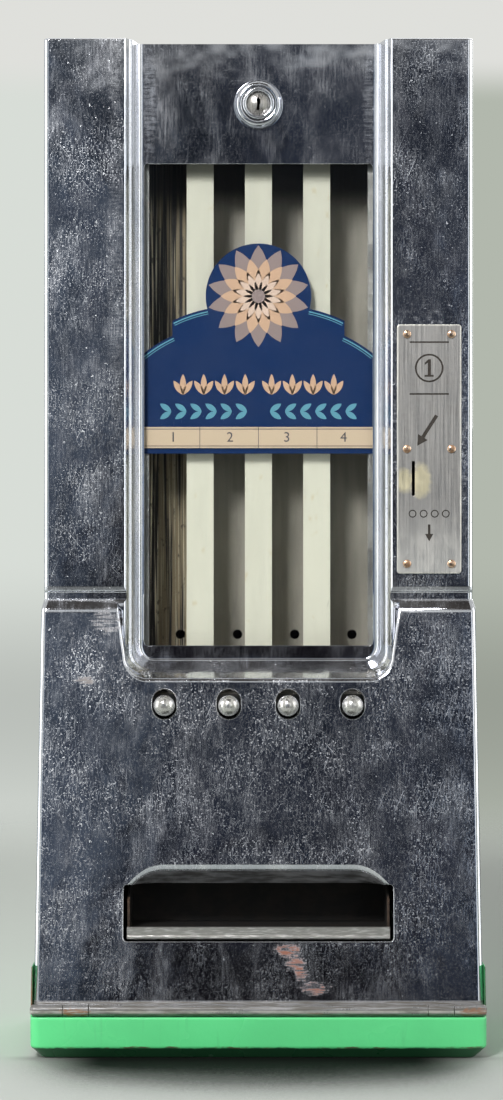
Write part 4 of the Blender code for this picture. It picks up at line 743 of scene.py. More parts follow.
@look
def streaked_material(tree, shader):
    """Dull grey-brown sheet metal, with gold and black streaks down its left column."""
    black, gold, bright, blot = STREAK_TONES
    broad = noise(tree, (0.0026, 0.0026, 0.150), 3.0).ramp(0.45, 0.57)
    fine = noise(tree, (0.0010, 0.0010, 0.070), 3.0).ramp(0.50, 0.66)
    across = axis(tree, "X")
    rich = across.ramp(GOLD_END - GOLD_EDGE, GOLD_END + GOLD_EDGE, 1.0, 0.42)
    streaks = mixed(fine * rich, mixed(broad * rich, black, gold), bright)
    blots = noise(tree, (0.0030, 0.0030, 0.0060), 4.0).ramp(0.58, 0.70, 0.0, 0.8)
    streaks = mixed(blots, streaks, blot)
    plain = mixed(noise(tree, (0.010, 0.010, 0.060), 4.0).ramp(*CLOUDS), *MAGAZINE_TONES)
    left = across.fall(STREAK_END - STREAK_EDGE, STREAK_END + STREAK_EDGE)
    # painted shade under the window's top edge
    colour = shade_under_top(tree, mixed(left, plain, streaks), *MAGAZINE_TOP_SHADE)
    metal = blots.ramp(0.0, 0.8, 0.30, 0.1)
    wire(shader, colour, fine.between(0.60, 0.42), metal, fine * left, 0.00008)


@look
def tray_material(tree, shader):
    """Stained metal painted nearly black inside as shade, rusty just behind a bright rubbed lip."""
    stain = noise(tree, 0.010, 5.0).ramp(0.40, 0.68)
    depth = axis(tree, "Y")
    edge = place_y(TRAY_LIP_BACK)
    rust = depth.fall(edge + TRAY_RUST_REACH / 2, edge + TRAY_RUST_REACH)
    # painted shade: near black inside, with rust just behind the lip
    colour = mixed(rust, mixed(stain, *TRAY_SHADE_TONES), mixed(stain, *TRAY_RUST_TONES))
    scuffs = noise(tree, (0.006, 0.0008, 0.0008), 3.0).ramp(0.45, 0.70)
    lip = depth.fall(edge - 0.0004, edge)
    colour = mixed(lip, colour, mixed(scuffs, *TRAY_LIP_TONES))
    wire(shader, colour, lip.between(0.75, 0.30), lip.between(0.20, 0.75), scuffs, 0.00005)


# Paint, card and glass

ENAMEL = (0.125, 0.745, 0.274)
CHIPPED = (0.045, 0.060, 0.040)
# painted shade on the base's chamfer, and grime on the lips
GRIME_AND_SHADE_GREEN = (0.034, 0.155, 0.066)
RUBBED_EDGE = (0.130, 0.090, 0.050)
LIP_RUST = (0.200, 0.110, 0.060)
LIP_DIRT = (0.090, 0.075, 0.060)
LIP_SIDES = (-0.05, 0.05)       # rusty on the left and grimy on the right
LIP_FRONT = (0.0004, 0.0030)    # dull at their front only, from the door's foot
LIP_RISE = (0.0002, 0.0008)
CHAMFER_SHADE_RISE = (-0.0007, 0.0001)  # from the chamfer's top
CHAMFER_SHADE_WAVE = 0.0022
EDGE_LINE = (0.0001, 0.0006)
PRIMER = (0.030, 0.028, 0.024)
CABINET_FLARE_TOP = 0.040
CABINET_CORNER = 0.0060
SHEET = 0.0015
CREAM_PAINT = (0.735, 0.715, 0.590)
PAINT_STAIN = (0.62, 0.52, 0.30)
PAINT_SCRATCH = (0.30, 0.29, 0.26)
PAINT_TOP_SHADE = (0.10, 0.10, 0.09)
PAINT_SHADE_FROM = (0.380, 0.470)     # the heights over which painted shade darkens the dividers
CARD_FADE = 0.0132
CARD_SCRATCH = (0.50, 0.52, 0.55)
GLASS_TONES = ((0.96, 0.98, 0.97), (0.92, 0.95, 0.94))
GLASS_BEND = 1.45


def enamel_colour(tree):
    """Glossy green paint with faint streaks, and its masks of chips and clouds."""
    cloud = noise(tree, 0.040, 3.0).ramp(*CLOUDS)
    streak = noise(tree, (0.004, 0.004, 0.030), 4.0).ramp(0.58, 0.76, 0.0, 0.22)
    colour = mixed(streak, mixed(cloud, ENAMEL, scaled(ENAMEL, 0.92)), scaled(ENAMEL, 0.55))
    chips = noise(tree, 0.0050, 5.0, offset=(3, 1, 2)).ramp(0.725, 0.745)
    return mixed(chips, colour, CHIPPED), chips, cloud


def finish_enamel(tree, shader, colour, chips, cloud):
    ripple = noise(tree, 0.0035, 2.0) - chips * 0.8
    wire(shader, colour, cloud.between(0.26, 0.40), None, ripple, 0.00008)


@look
def base_enamel(tree, shader):
    """Green paint: painted shade on the downward chamfer of the lower edge, a rubbed line along it and dull
    lips above the base.
    """
    colour, chips, cloud = enamel_colour(tree)
    height = axis(tree, "Z")
    wavy = height + (noise(tree, 0.0060, 4.0) * CHAMFER_SHADE_WAVE + -CHAMFER_SHADE_WAVE / 2)
    # painted shade: the chamfer, which faces down, is darker green
    chamfer_shade = wavy.fall(*(BASE_CHAMFER + rise for rise in CHAMFER_SHADE_RISE))
    colour = mixed(chamfer_shade, colour, GRIME_AND_SHADE_GREEN)
    line = abs(wavy - BASE_CHAMFER).fall(*EDGE_LINE)
    broken = noise(tree, (0.008, 0.008, 0.002), 4.0, offset=(1, 2, 0)).ramp(0.50, 0.66)
    colour = mixed(line * broken, colour, RUBBED_EDGE)
    lips = mixed(axis(tree, "X").ramp(*LIP_SIDES), LIP_RUST, GRIME_AND_SHADE_GREEN)
    rusty = noise(tree, (0.003, 0.003, 0.006), 4.0).ramp(0.40, 0.60)
    lips = mixed(rusty * 0.5, lips, LIP_DIRT)
    above = height.ramp(*(BASE_HEIGHT + rise for rise in LIP_RISE))
    front = axis(tree, "Y").fall(*(place_y(FOOT_F) + back for back in LIP_FRONT))
    finish_enamel(tree, shader, mixed(above * front, colour, lips), chips, cloud)


def inside_cabinet(tree, node):
    """A mask of the inner faces of the flared sheet box with round back corners."""
    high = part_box(node)[1]
    height = axis(tree, "Z")
    rise = (height - CABINET_FLARE_TOP).math("MULTIPLY", 1 / (BODY_TOP - CABINET_FLARE_TOP), clamp=True)
    half = rise * (UPPER_HALF - FOOT_HALF) + (FOOT_HALF - CABINET_CORNER)
    aside = (abs(axis(tree, "X")) - half).most(0.0)
    behind = (axis(tree, "Y") - (high.y - CABINET_CORNER)).most(0.0)
    reach = (aside * aside + behind * behind).math("SQRT")
    inside = reach.math("LESS_THAN", CABINET_CORNER - SHEET / 2)
    return inside * height.math("LESS_THAN", high.z - SHEET / 2)


@look
def cabinet_enamel(tree, shader, node):
    """Green paint outside and dark primer on the inner faces."""
    colour, chips, cloud = enamel_colour(tree)
    primer = mixed(noise(tree, 0.006, 4.0), PRIMER, scaled(PRIMER, 1.8))
    finish_enamel(tree, shader, mixed(inside_cabinet(tree, node), colour, primer), chips, cloud)


@look
def paint_material(tree, shader):
    """Old cream paint with faint vertical marks, darkened by painted shade towards the top and under the
    window's top edge.
    """
    cloud = noise(tree, (0.010, 0.010, 0.060), 4.0).ramp(0.35, 0.70)
    colour = mixed(cloud, CREAM_PAINT, scaled(CREAM_PAINT, 0.92))
    stain = noise(tree, (0.006, 0.006, 0.009), 4.0, offset=(2, 0, 1)).ramp(0.64, 0.76, 0.0, 0.5)
    colour = mixed(stain, colour, PAINT_STAIN)
    scratch = noise(tree, (0.0007, 0.004, 0.012), 2.0, turn=14).ramp(0.74, 0.80, 0.0, 0.5)
    colour = mixed(scratch, colour, PAINT_SCRATCH)
    # painted shade: darker towards the top
    colour = mixed(axis(tree, "Z").ramp(*PAINT_SHADE_FROM, 0.0, 0.20), colour, PAINT_TOP_SHADE)
    # painted shade under the window's top edge
    colour = shade_under_top(tree, colour, *DIVIDER_TOP_SHADE)
    wire(shader, colour, cloud.between(0.42, 0.56), None, noise(tree, 0.0010, 3.0), 0.00004)


@look
def card_material(tree, shader, tone):
    """Printed card, a little faded and scratched."""
    cloud = noise(tree, 0.020, 4.0).ramp(0.35, 0.68)
    light = tuple(part + (0.5 - part) * CARD_FADE for part in tone)
    lines = noise(tree, (0.0005, 0.003, 0.016), 2.0, turn=6).ramp(0.72, 0.80, 0.0, 0.14)
    colour = mixed(lines, mixed(cloud, tone, light), CARD_SCRATCH)
    shader.inputs["Specular IOR Level"].default_value = 0.1
    wire(shader, colour, cloud.between(0.48, 0.62), None, noise(tree, 0.0007, 3.0), 0.00003)


@look
def glass_material(tree, shader):
    """Clear glass that lets light through to what lies behind it."""
    shader.inputs["Transmission Weight"].default_value = 1.0
    shader.inputs["IOR"].default_value = GLASS_BEND
    rough = noise(tree, 0.012, 4.0).ramp(0.4, 0.8, 0.01, 0.05)
    wire(shader, mixed(noise(tree, 0.05, 2.0), *GLASS_TONES), rough)
    path = tree.nodes.new("ShaderNodeLightPath")
    shadow, diffuse = (Value(tree, path.outputs[ray]) for ray in ("Is Shadow Ray", "Is Diffuse Ray"))
    see_through(tree, shader, shadow.most(diffuse))


# The door casting

SOFT_EDGE = 0.0004
GROOVE_FOOT = 0.0002            # the bevel starts this much below the groove's top
RECESS_BASE_HALF = 0.0744       # the recess's wall carried forward to the pilasters' face
RECESS_SLOPE = 0.391
RECESS_KNEE = 0.0046
RECESS_PROFILE = (
    # depth and half width down the recess's side
    (-0.0010, 0.0773),
    (0.0001, RECESS_BASE_HALF),
    (RECESS_KNEE, 0.0726),
    (0.0053, 0.0711),
    (0.0168, 0.0686),
)
RECESS_SOFT = 0.0017
COVE_DEPTH = 0.0032             # the fillet between the recess's wall and the panel
COVE_SIDE = 0.0036
COVE_SILL = 0.0016
COVE_STEPS = 10
PANEL_DISH = 0.00012            # the panel's edge is a little dished
DISH_SIDE = 0.0063
DISH_SILL = 0.0040
DISH_SHARES = (0.35, 0.7, 1.0)
SILL_FRONT_Z = 0.2042
SILL_FRONT_F = -0.015
SILL_RISE = 0.318
SILL_CORNER_FRONT = 0.0135
SILL_CORNER_BACK = 0.0090
SILL_CORNER_LEAST = 0.0015
SIDE_SHARES = (0.78, 0.58, 0.40, 0.26, 0.14, 0.04)
WIDEN_FROM = 0.2190             # the recess's side widens to its profile over these heights
WIDEN_OVER = 0.0230
CORNER_STEPS = 14
BODY_INNER_ROUND = 0.0042
BODY_INNER_OUT = 0.0960
BODY_INNER_FOOT = 0.2177        # the lower body's inner side leans in to this height
BODY_INNER_DROP = 0.030
BODY_INNER_RISE = 0.0150
BODY_INNER_LIFT = 0.0003
BODY_ROLL = 0.0018
BODY_CUT_END = -0.0001
BODY_CUT_LEAST = 0.0002
HOLLOW_LEAST = 0.0005
SILL_GUESS = 0.2100
SILL_ROUNDS = 4
SCOOP_START = (-0.0003, -0.0012)
SCOOP_RIM = ((0.0020, 13), (0.0125, 28))    # radii down the rim, with the degrees that each turns to
SCOOP_TILT = 46                 # degrees that the slope leans inwards
SCOOP_FLAT = 0.70
SCOOP_FALL = 2.4
SCOOP_LIP = 0.0006
SCOOP_ACROSS = 48
SCOOP_STEPS = 4
WINDOW_EDGE = 0.0004
OPENING_EDGE = 0.0005
OPENING_THROUGH = 0.020
KNOB_HOLE_CORNER = 0.0064
KNOB_HOLE_EDGE = 0.0010
KNOB_HOLE_THROUGH = 0.012
COIN_HOLE_HALF = 0.0017
COIN_HOLE_OVER = 0.0008
COIN_HOLE_THROUGH = 0.003
COIN_SLOT_HALF = 0.0009
COIN_SLOT_LOW = 0.3085
COIN_SLOT_HIGH = 0.3279
COIN_SLOT_CORNER = 0.0006
COIN_SLOT_EDGE = 0.00025
COIN_SLOT_THROUGH = 0.004


def cover_levels():
    """(height, half width, front depth) up the door's outer side, with soft corners."""
    brow_z = BODY_TOP - SHOULDER_FALL
    face_z = brow_z - 2 * SHOULDER_ROLL
    face = (face_z, SHOULDER_HALF, face_front(face_z))
    brow = (brow_z, SHOULDER_HALF, face_front(brow_z))
    ledge = (BODY_TOP, UPPER_HALF, GROOVE_DEPTH - LEDGE_DEPTH)
    slope = tuple((Vector(brow) + Vector(ledge)) / 2)
    foot = [
        (FOOT_Z, FOOT_HALF, FOOT_F),
        (FACE_FOOT_Z - FOOT_LEDGE, FOOT_HALF, FOOT_F),
        (FACE_FOOT_Z, FOOT_HALF, FACE_FOOT_F),
        face,
    ]
    upper = [
        slope,
        ledge,
        (BODY_TOP, UPPER_HALF, GROOVE_DEPTH),
        (BODY_TOP + GROOVE_HEIGHT - GROOVE_FOOT, UPPER_HALF, GROOVE_DEPTH),
        (BODY_TOP + GROOVE_HEIGHT + BEVEL_FOOT, UPPER_HALF, BEVEL_DEPTH),
        (BODY_TOP + GROOVE_HEIGHT + PILASTER_BEVEL, UPPER_HALF, 0),
        (TOP_Z - TOP_ROUND, UPPER_HALF, 0),
    ]
    levels = rounded(foot, SOFT_EDGE, 4)
    levels += rounded([face, brow, slope], SHOULDER_ROLL, 14)[1:-1]
    levels += rounded(upper, SOFT_EDGE, 5)
    for back, below in quarter(ROUND_STEPS):
        inset = TOP_ROUND * back
        levels.append(Vector((TOP_Z - TOP_ROUND * below, UPPER_HALF - inset / 2, inset)))
    return levels


def cover_sections(inset, back, steps=10):
    """Sections of the door's outside, or of its hollow for an inset."""
    sections = []
    radius = DOOR_CORNER - inset / 2
    for height, half, front in cover_levels():
        width = half - inset
        depth = front + inset
        points = [(-width, back)]
        points += arc((-width + radius, depth + radius), radius, 180, 270, steps)
        points += arc((width - radius, depth + radius), radius, 270, 360, steps)
        points.append((width, back))
        sections.append([(x, place_y(y), height) for x, y in points])
    return sections


def hollow_sections():
    """Sections of the door's hollow, cut off under the top wall."""
    ceiling = TOP_Z - DOOR_WALL
    sections = cover_sections(DOOR_WALL, DOOR_RIM + OVERRUN, 4)
    sections[0] = [(x, y, z - OVERRUN) for x, y, z in sections[0]]
    sections = [section for section in sections if section[0][2] < ceiling - HOLLOW_LEAST]
    sections.append([(x, y, ceiling) for x, y, z in sections[-1]])
    return sections


def sill_at(depth):
    return SILL_FRONT_Z + (depth - SILL_FRONT_F) * SILL_RISE


def sill_corner_at(depth):
    share = (depth - SILL_FRONT_F) / (RECESS_DEPTH - SILL_FRONT_F)
    return SILL_CORNER_FRONT + share * (SILL_CORNER_BACK - SILL_CORNER_FRONT)


def corner_turns(start):
    """The angles of a corner's points, from a start in degrees."""
    return [math.radians(start + 90 * index / CORNER_STEPS) for index in range(CORNER_STEPS + 1)]


def eased(value):
    value = max(0.0, min(1.0, value))
    return value * value * (3 - 2 * value)


def recess_levels():
    """(depth, half width, side inset, sill rise) from the pilasters' face to the flat panel."""
    levels = [(depth, half, 0.0, 0.0) for depth, half in rounded(RECESS_PROFILE, RECESS_SOFT, 7)]
    wall_half = RECESS_PROFILE[-1][1]
    panel = RECESS_DEPTH - PANEL_DISH
    for share, left in quarter(COVE_STEPS):
        levels.append((panel - COVE_DEPTH * left, wall_half, COVE_SIDE * share, COVE_SILL * share))
    for share in DISH_SHARES:
        depth = panel + PANEL_DISH * (1 - (1 - share) ** 2)
        levels.append((depth, wall_half, COVE_SIDE + DISH_SIDE * share, COVE_SILL + DISH_SILL * share))
    return levels


def recess_outline(depth, half, inset, rise, grow):
    """The recess's outline at one of its levels."""
    plain = min(half, RECESS_BASE_HALF - RECESS_SLOPE * depth) if depth < RECESS_KNEE else half
    extra = half - plain
    radius = sill_corner_at(depth)
    wide = max(SILL_CORNER_LEAST, radius - inset) + grow
    tall = max(SILL_CORNER_LEAST, radius - rise) + grow
    low = plain - inset + grow
    start = sill_at(depth) + rise - grow + tall
    side = [(low + extra, height) for height in (TOP_Z + OVERRUN, BODY_TOP + OVERRUN, BODY_TOP)]
    for share in SIDE_SHARES:
        height = start + (BODY_TOP - start) * share
        side.append((low + extra * eased((height - WIDEN_FROM) / WIDEN_OVER), height))
    points = [(-x, z) for x, z in side]
    for middle, first in ((wide - low, 180), (low - wide, 270)):
        for turn in corner_turns(first):
            points.append((middle + wide * math.cos(turn), start + tall * math.sin(turn)))
    return points + side[::-1]


def recess_sections(grow):
    """Sections of the middle recess, from the pilasters' face to the panel."""
    levels = recess_levels()
    sections = [at_depth(recess_outline(*level, grow), level[0]) for level in levels[:-1]]
    sections.append(at_depth(recess_outline(*levels[-1], grow), levels[-1][0] + grow))
    return sections


def body_inner_line(depth_of):
    """The lower body's inner contour as (x, z, depth), for a depth that changes with height."""
    top = RECESS_SHOULDER_HALF
    lean = (top - RECESS_BASE_HALF) / (BODY_TOP - BODY_INNER_FOOT)
    ledge_z = BODY_TOP + BODY_INNER_LIFT
    inner = (-top + lean * BODY_INNER_DROP, BODY_TOP - BODY_INNER_DROP)
    shoulder = rounded([(-BODY_INNER_OUT, ledge_z), (-top, ledge_z), inner], BODY_INNER_ROUND, 10)
    side = [(-BODY_INNER_OUT, BODY_TOP + BODY_INNER_RISE)] + shoulder[:-1]
    points = [(x, z, depth_of(z)) for x, z in side]
    for turn in corner_turns(180):
        height = SILL_GUESS
        for _ in range(SILL_ROUNDS):
            depth = depth_of(height)
            radius = sill_corner_at(depth)
            height = sill_at(depth) + radius + radius * math.sin(turn)
        points.append((-RECESS_BASE_HALF + radius + radius * math.cos(turn), height, depth))
    return points + [(-x, z, depth) for x, z, depth in reversed(points)]


def body_sections(grow):
    """Sections that cut the lower body's inner contour in front of the pilasters' face."""
    sections = []
    limit = -BODY_ROLL - BODY_CUT_LEAST
    for depth_in, growth in roll(BODY_ROLL, 8):
        line = body_inner_line(lambda z: min(face_front(z), limit) + depth_in)
        flat = grown([point[:2] for point in line], growth + grow)
        sections.append([(x, place_y(p[2]), z) for (x, z), p in zip(flat, line)])
    line = body_inner_line(lambda z: BODY_CUT_END)
    sections.append(at_depth(grown([point[:2] for point in line], grow), BODY_CUT_END))
    return sections


def scoop_levels():
    """(depth, drop) down the scoop's crowned rim and its slope."""
    levels = [SCOOP_START]
    rolled_depth = rolled_drop = first = 0.0
    for radius, tilt in SCOOP_RIM:
        last = math.radians(tilt)
        for index in range(1, SCOOP_STEPS + 1):
            angle = first + (last - first) * index / SCOOP_STEPS
            depth = rolled_depth + radius * (math.cos(first) - math.cos(angle))
            levels.append((depth, rolled_drop + radius * (math.sin(angle) - math.sin(first))))
        rolled_depth, rolled_drop = levels[-1]
        first = last
    left = SCOOP_TOP - OPENING_TOP + SCOOP_LIP - rolled_drop
    for index in range(1, SCOOP_STEPS + 1):
        drop = left * index / SCOOP_STEPS
        levels.append((rolled_depth + drop * math.tan(math.radians(SCOOP_TILT)), rolled_drop + drop))
    return levels


def scoop_sections(grow):
    """Sections of the finger scoop over the delivery opening, square to the sloping face."""
    levels = scoop_levels()
    foot = OPENING_TOP - OVERRUN
    half = SCOOP_HALF + grow
    sections = []
    for number, (depth, drop) in enumerate(levels):
        points = [(-half, foot)]
        for index in range(SCOOP_ACROSS + 1):
            x = -half + 2 * half * index / SCOOP_ACROSS
            fall = max(0.0, (abs(x) / half - SCOOP_FLAT) / (1 - SCOOP_FLAT)) ** SCOOP_FALL
            top = SCOOP_TOP - fall * (SCOOP_TOP - OPENING_TOP + SCOOP_LIP) - drop
            points.append((x, max(top, OPENING_TOP - SCOOP_LIP) + grow))
        points.append((half, foot))
        at = depth + (grow if number == len(levels) - 1 else 0)
        sections.append([(x, place_y(face_front(z) + at), z) for x, z in points])
    return sections


def cut_knob_holes(cover):
    for number in range(1, 5):
        centre = box_middle("knob_" + str(number))
        low = centre.z + KNOB_HOLE_RISE - KNOB_HOLE_TALL
        high = centre.z + KNOB_HOLE_RISE + KNOB_HOLE_TALL
        outline = rounded_box(KNOB_HOLE_HALF, low, high, KNOB_HOLE_CORNER, 10, centre.x)
        name = "plunger_hole_" + str(number)
        boolean(cover, edge_cutter(name, outline, KNOB_HOLE_EDGE, face_front, KNOB_HOLE_THROUGH))


def cut_lock_and_coin_holes(cover):
    circle = disc((0, box_middle("lock_plug").z), LOCK_HOLE_RADIUS, 48)
    boolean(cover, prism("lock_hole", circle, RECESS_DEPTH - OVERRUN, DOOR_RIM + OVERRUN))
    cut_knob_holes(cover)
    low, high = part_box("coin_throat")
    over = COIN_HOLE_OVER
    foot, top = COIN_SLOT_LOW - over, COIN_SLOT_HIGH + over
    slot = rounded_box(COIN_HOLE_HALF, foot, top, over, 3, (low.x + high.x) / 2)
    boolean(cover, prism("coin_hole", slot, -OVERRUN, COIN_HOLE_THROUGH))


def make_door(material):
    """The cast front: a shell with the recess, the lower body, the scoop and its holes."""
    cover = loft("door_casting", cover_sections(0, DOOR_RIM))
    hollow = loft("door_hollow", hollow_sections())
    boolean(hollow, loft("recess_back", recess_sections(DOOR_WALL)))
    boolean(hollow, loft("body_back", body_sections(DOOR_WALL)))
    boolean(hollow, loft("scoop_back", scoop_sections(DOOR_WALL)))
    boolean(cover, loft("body_inner", body_sections(0)))
    boolean(cover, loft("recess", recess_sections(0)))
    boolean(cover, loft("scoop", scoop_sections(0)))
    boolean(cover, hollow)
    window = rounded_box(WINDOW_HALF, WINDOW_BOTTOM, WINDOW_TOP, WINDOW_CORNER)
    boolean(cover, edge_cutter("window_hole", window, WINDOW_EDGE, lambda z: RECESS_DEPTH, DOOR_RIM))
    opening = rounded_box(OPENING_HALF, OPENING_BOTTOM, OPENING_TOP, OPENING_CORNER)
    boolean(cover, edge_cutter("opening_hole", opening, OPENING_EDGE, face_front, OPENING_THROUGH))
    cut_lock_and_coin_holes(cover)
    dress(smooth(cover), material, "door", "chrome", "front_cover")


# Coin plate

PLATE_LOW, PLATE_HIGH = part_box("coin_plate")
PLATE_CORNER = 0.0017
PLATE_EDGE = 0.0004
PLATE_F = PLATE_LOW.y - FACE_Y
PLATE_BACK_F = PLATE_HIGH.y - FACE_Y
PLATE_NICKEL = (0.410, 0.393, 0.376)
PLATE_FOOT_REFLECTION = (0.720, 0.700, 0.660)
PLATE_BRASSY = (0.78, 0.70, 0.48)
PLATE_EDGE_HIGHLIGHT = (0.74, 0.72, 0.66)
EDGE_HIGHLIGHT_WIDTH = (0.0011, 0.0006)
SLOT_WEAR = (
    # centre from the slot's middle, reach
    ((0.0042, -0.0012), (0.0070, 0.0116)),
    ((-0.0050, -0.0012), (0.0058, 0.0084)),
)
ENGRAVE = 0.00025
COIN_MARK_Z = 0.3800
COIN_MARK_RADIUS = 0.0080
COIN_MARK_WIDTH = 0.0010
ONE_TALL = 0.0098
FIGURE_ONE = (
    # a plain 1 with a flag and a foot, in shares of its height
    (-0.26, -0.50), (0.26, -0.50), (0.26, -0.39), (0.10, -0.39), (0.10, 0.50),
    (-0.04, 0.50), (-0.26, 0.30), (-0.26, 0.18), (-0.08, 0.30), (-0.08, -0.39), (-0.26, -0.39),
)
ARROW_FROM = (0.0042, 0.3535)   # x from the plate's middle
ARROW_TO = (0.0022, 0.3365)     # x from the slot's middle
ARROW_WIDTH = 0.0020
ARROW_HEAD = 0.0058
DOWN_FROM = 0.2925
DOWN_TO = 0.2830
DOWN_WIDTH = 0.0014
DOWN_HEAD = 0.0042
HEAD_SPREAD = 0.55
RULES_Z = (0.3945, 0.3655)
RULE_HALF = 0.0110
RULE_WIDTH = 0.0009
KNOB_MARK_Z = 0.2985
KNOB_MARK_STEP = 0.0062
KNOB_MARK_RADIUS = 0.0022
KNOB_MARK_WIDTH = 0.0006


def engraved(name, outline):
    """A cutter for a mark in the plate's face."""
    return prism(name, outline, PLATE_F - ENGRAVE, PLATE_F + ENGRAVE)


def engraved_ring(name, x, z, radius, width):
    inner = radius - width
    profile = [(inner, -ENGRAVE), (radius, -ENGRAVE), (radius, ENGRAVE * 3), (inner, ENGRAVE * 3)]
    return turned(name, profile, (x, place_y(PLATE_F), z), 40, closed=True)


def stroke(start, end, width, head=0.0):
    """The outline of a straight stroke, which ends in an arrow's head if that has a length."""
    start, end = Vector(start), Vector(end)
    along = (end - start).normalized()
    side = Vector((-along.y, along.x))
    neck = end - along * head
    half = side * width / 2
    spread = side * head * HEAD_SPREAD
    tip = [neck - spread, end, neck + spread] if head else []
    return [start - half, neck - half, *tip, neck + half, start + half]


def plate_material():
    """Nickel lightened towards its foot by a painted reflection, brassy where rubbed round the slot, with a
    painted highlight along its border.
    """
    material = nickel_material("coin_plate_nickel", PLATE_NICKEL, 0.0003)
    tree = material.node_tree
    base = tree.nodes["Principled BSDF"].inputs["Base Color"]
    colour = Value(tree, base.links[0].from_socket)
    # painted reflection: lighter towards the plate's foot
    foot = axis(tree, "Z").ramp(PLATE_LOW.z, COIN_SLOT_LOW, 0.85, 0.0)
    colour = mixed(foot, colour, PLATE_FOOT_REFLECTION)
    slot = (box_middle("coin_throat").x, (COIN_SLOT_LOW + COIN_SLOT_HIGH) / 2)
    for offset, reach in SLOT_WEAR:
        worn = spot(tree, (slot[0] + offset[0], slot[1] + offset[1]), reach)
        colour = mixed(worn, colour, PLATE_BRASSY)
    # painted highlight along the plate's bevelled border
    middle = (PLATE_LOW + PLATE_HIGH) / 2
    half = (PLATE_HIGH - PLATE_LOW) / 2
    start, full = EDGE_HIGHLIGHT_WIDTH
    aside = abs(axis(tree, "X") - middle.x).ramp(half.x - start, half.x - full)
    above = abs(axis(tree, "Z") - middle.z).ramp(half.z - start, half.z - full)
    feed(base, mixed(aside.most(above), colour, PLATE_EDGE_HIGHLIGHT))
    return material


def plate_marks(middle):
    """Cutters for a ring round a plain 1, an arrow, rules, four small rings and an arrow down."""
    slot_x = box_middle("coin_throat").x
    one = [(middle + u * ONE_TALL, COIN_MARK_Z + v * ONE_TALL) for u, v in FIGURE_ONE]
    start = (middle + ARROW_FROM[0], ARROW_FROM[1])
    tip = (slot_x + ARROW_TO[0], ARROW_TO[1])
    marks = [
        engraved_ring("mark_coin", middle, COIN_MARK_Z, COIN_MARK_RADIUS, COIN_MARK_WIDTH),
        engraved("mark_one", one),
        engraved("mark_arrow", stroke(start, tip, ARROW_WIDTH, ARROW_HEAD)),
    ]
    for number, z in enumerate(RULES_Z):
        rule = stroke((middle - RULE_HALF, z), (middle + RULE_HALF, z), RULE_WIDTH)
        marks.append(engraved("mark_rule_" + str(number), rule))
    for number in range(4):
        x = middle + (number - 1.5) * KNOB_MARK_STEP
        name = "mark_knob_" + str(number)
        marks.append(engraved_ring(name, x, KNOB_MARK_Z, KNOB_MARK_RADIUS, KNOB_MARK_WIDTH))
    down = stroke((middle, DOWN_FROM), (middle, DOWN_TO), DOWN_WIDTH, DOWN_HEAD)
    return marks + [engraved("mark_down", down)]


def make_coin_plate():
    middle = (PLATE_LOW.x + PLATE_HIGH.x) / 2
    half = (PLATE_HIGH.x - PLATE_LOW.x) / 2
    levels = [(0, PLATE_BACK_F)]
    for inwards, back in quarter(ROUND_STEPS, first=0):
        levels.append((PLATE_EDGE * inwards, PLATE_F + PLATE_EDGE * back))
    sections = []
    for inset, depth in levels:
        low, high = PLATE_LOW.z + inset, PLATE_HIGH.z - inset
        outline = rounded_box(half - inset, low, high, PLATE_CORNER - inset, 8, middle)
        sections.append(at_depth(outline, depth))
    plate = loft("coin_plate_sheet", sections)
    plate.data.materials.append(plate_material())
    filling = dark_material("engraving_black", BLACK_FILL_AND_SHADE)
    for mark in plate_marks(middle):
        mark.data.materials.append(filling)
        boolean(plate, mark)
    slot_x = box_middle("coin_throat").x
    slot = rounded_box(COIN_SLOT_HALF, COIN_SLOT_LOW, COIN_SLOT_HIGH, COIN_SLOT_CORNER, 4, slot_x)
    boolean(plate, edge_cutter("slot_cutter", slot, COIN_SLOT_EDGE, lambda z: PLATE_F, COIN_SLOT_THROUGH))
    dress(smooth(plate), None, "door", "nickel", "coin_plate")


SCREW_HEAD = 0.0010
SCREW_RIM = 14                  # degrees at which the crown meets the rim
SCREW_CROWN = 0.72
SCREW_RIM_FOOT = 0.12
SCREW_BEVEL = 0.0001
SCREW_SHANK = 0.0012
CROWN_STEPS = 8


def screw_profile(radius, shank):
    """(radius, height) down a low crowned head and its shank."""
    rim = math.radians(SCREW_RIM)
    profile = [(0, SCREW_HEAD)]
    for index in range(1, CROWN_STEPS + 1):
        angle = math.radians(90 - (90 - SCREW_RIM) * index / CROWN_STEPS)
        crown = (math.sin(angle) - math.sin(rim)) / (1 - math.sin(rim))
        height = SCREW_HEAD * crown * SCREW_CROWN + SCREW_HEAD * (1 - SCREW_CROWN)
        profile.append((radius * math.cos(angle) / math.cos(rim), height))
    profile += [(radius, SCREW_HEAD * SCREW_RIM_FOOT), (radius - SCREW_BEVEL, 0)]
    return profile + [(SCREW_SHANK, 0), (SCREW_SHANK, -shank), (0, -shank)]


def make_plate_screws(material):
    for number in range(1, 7):
        node = "coin_plate_screw_" + str(number)
        low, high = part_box(node)
        middle = box_middle(node)
        profile = screw_profile((high.x - low.x) / 2, high.y - low.y - SCREW_HEAD)
        place = (middle.x, low.y + SCREW_HEAD, middle.z)
        screw = turned("plate_rivet_" + str(number), profile, place, 32)
        dress(smooth(screw), material, "door", "brass", node)


# Lock

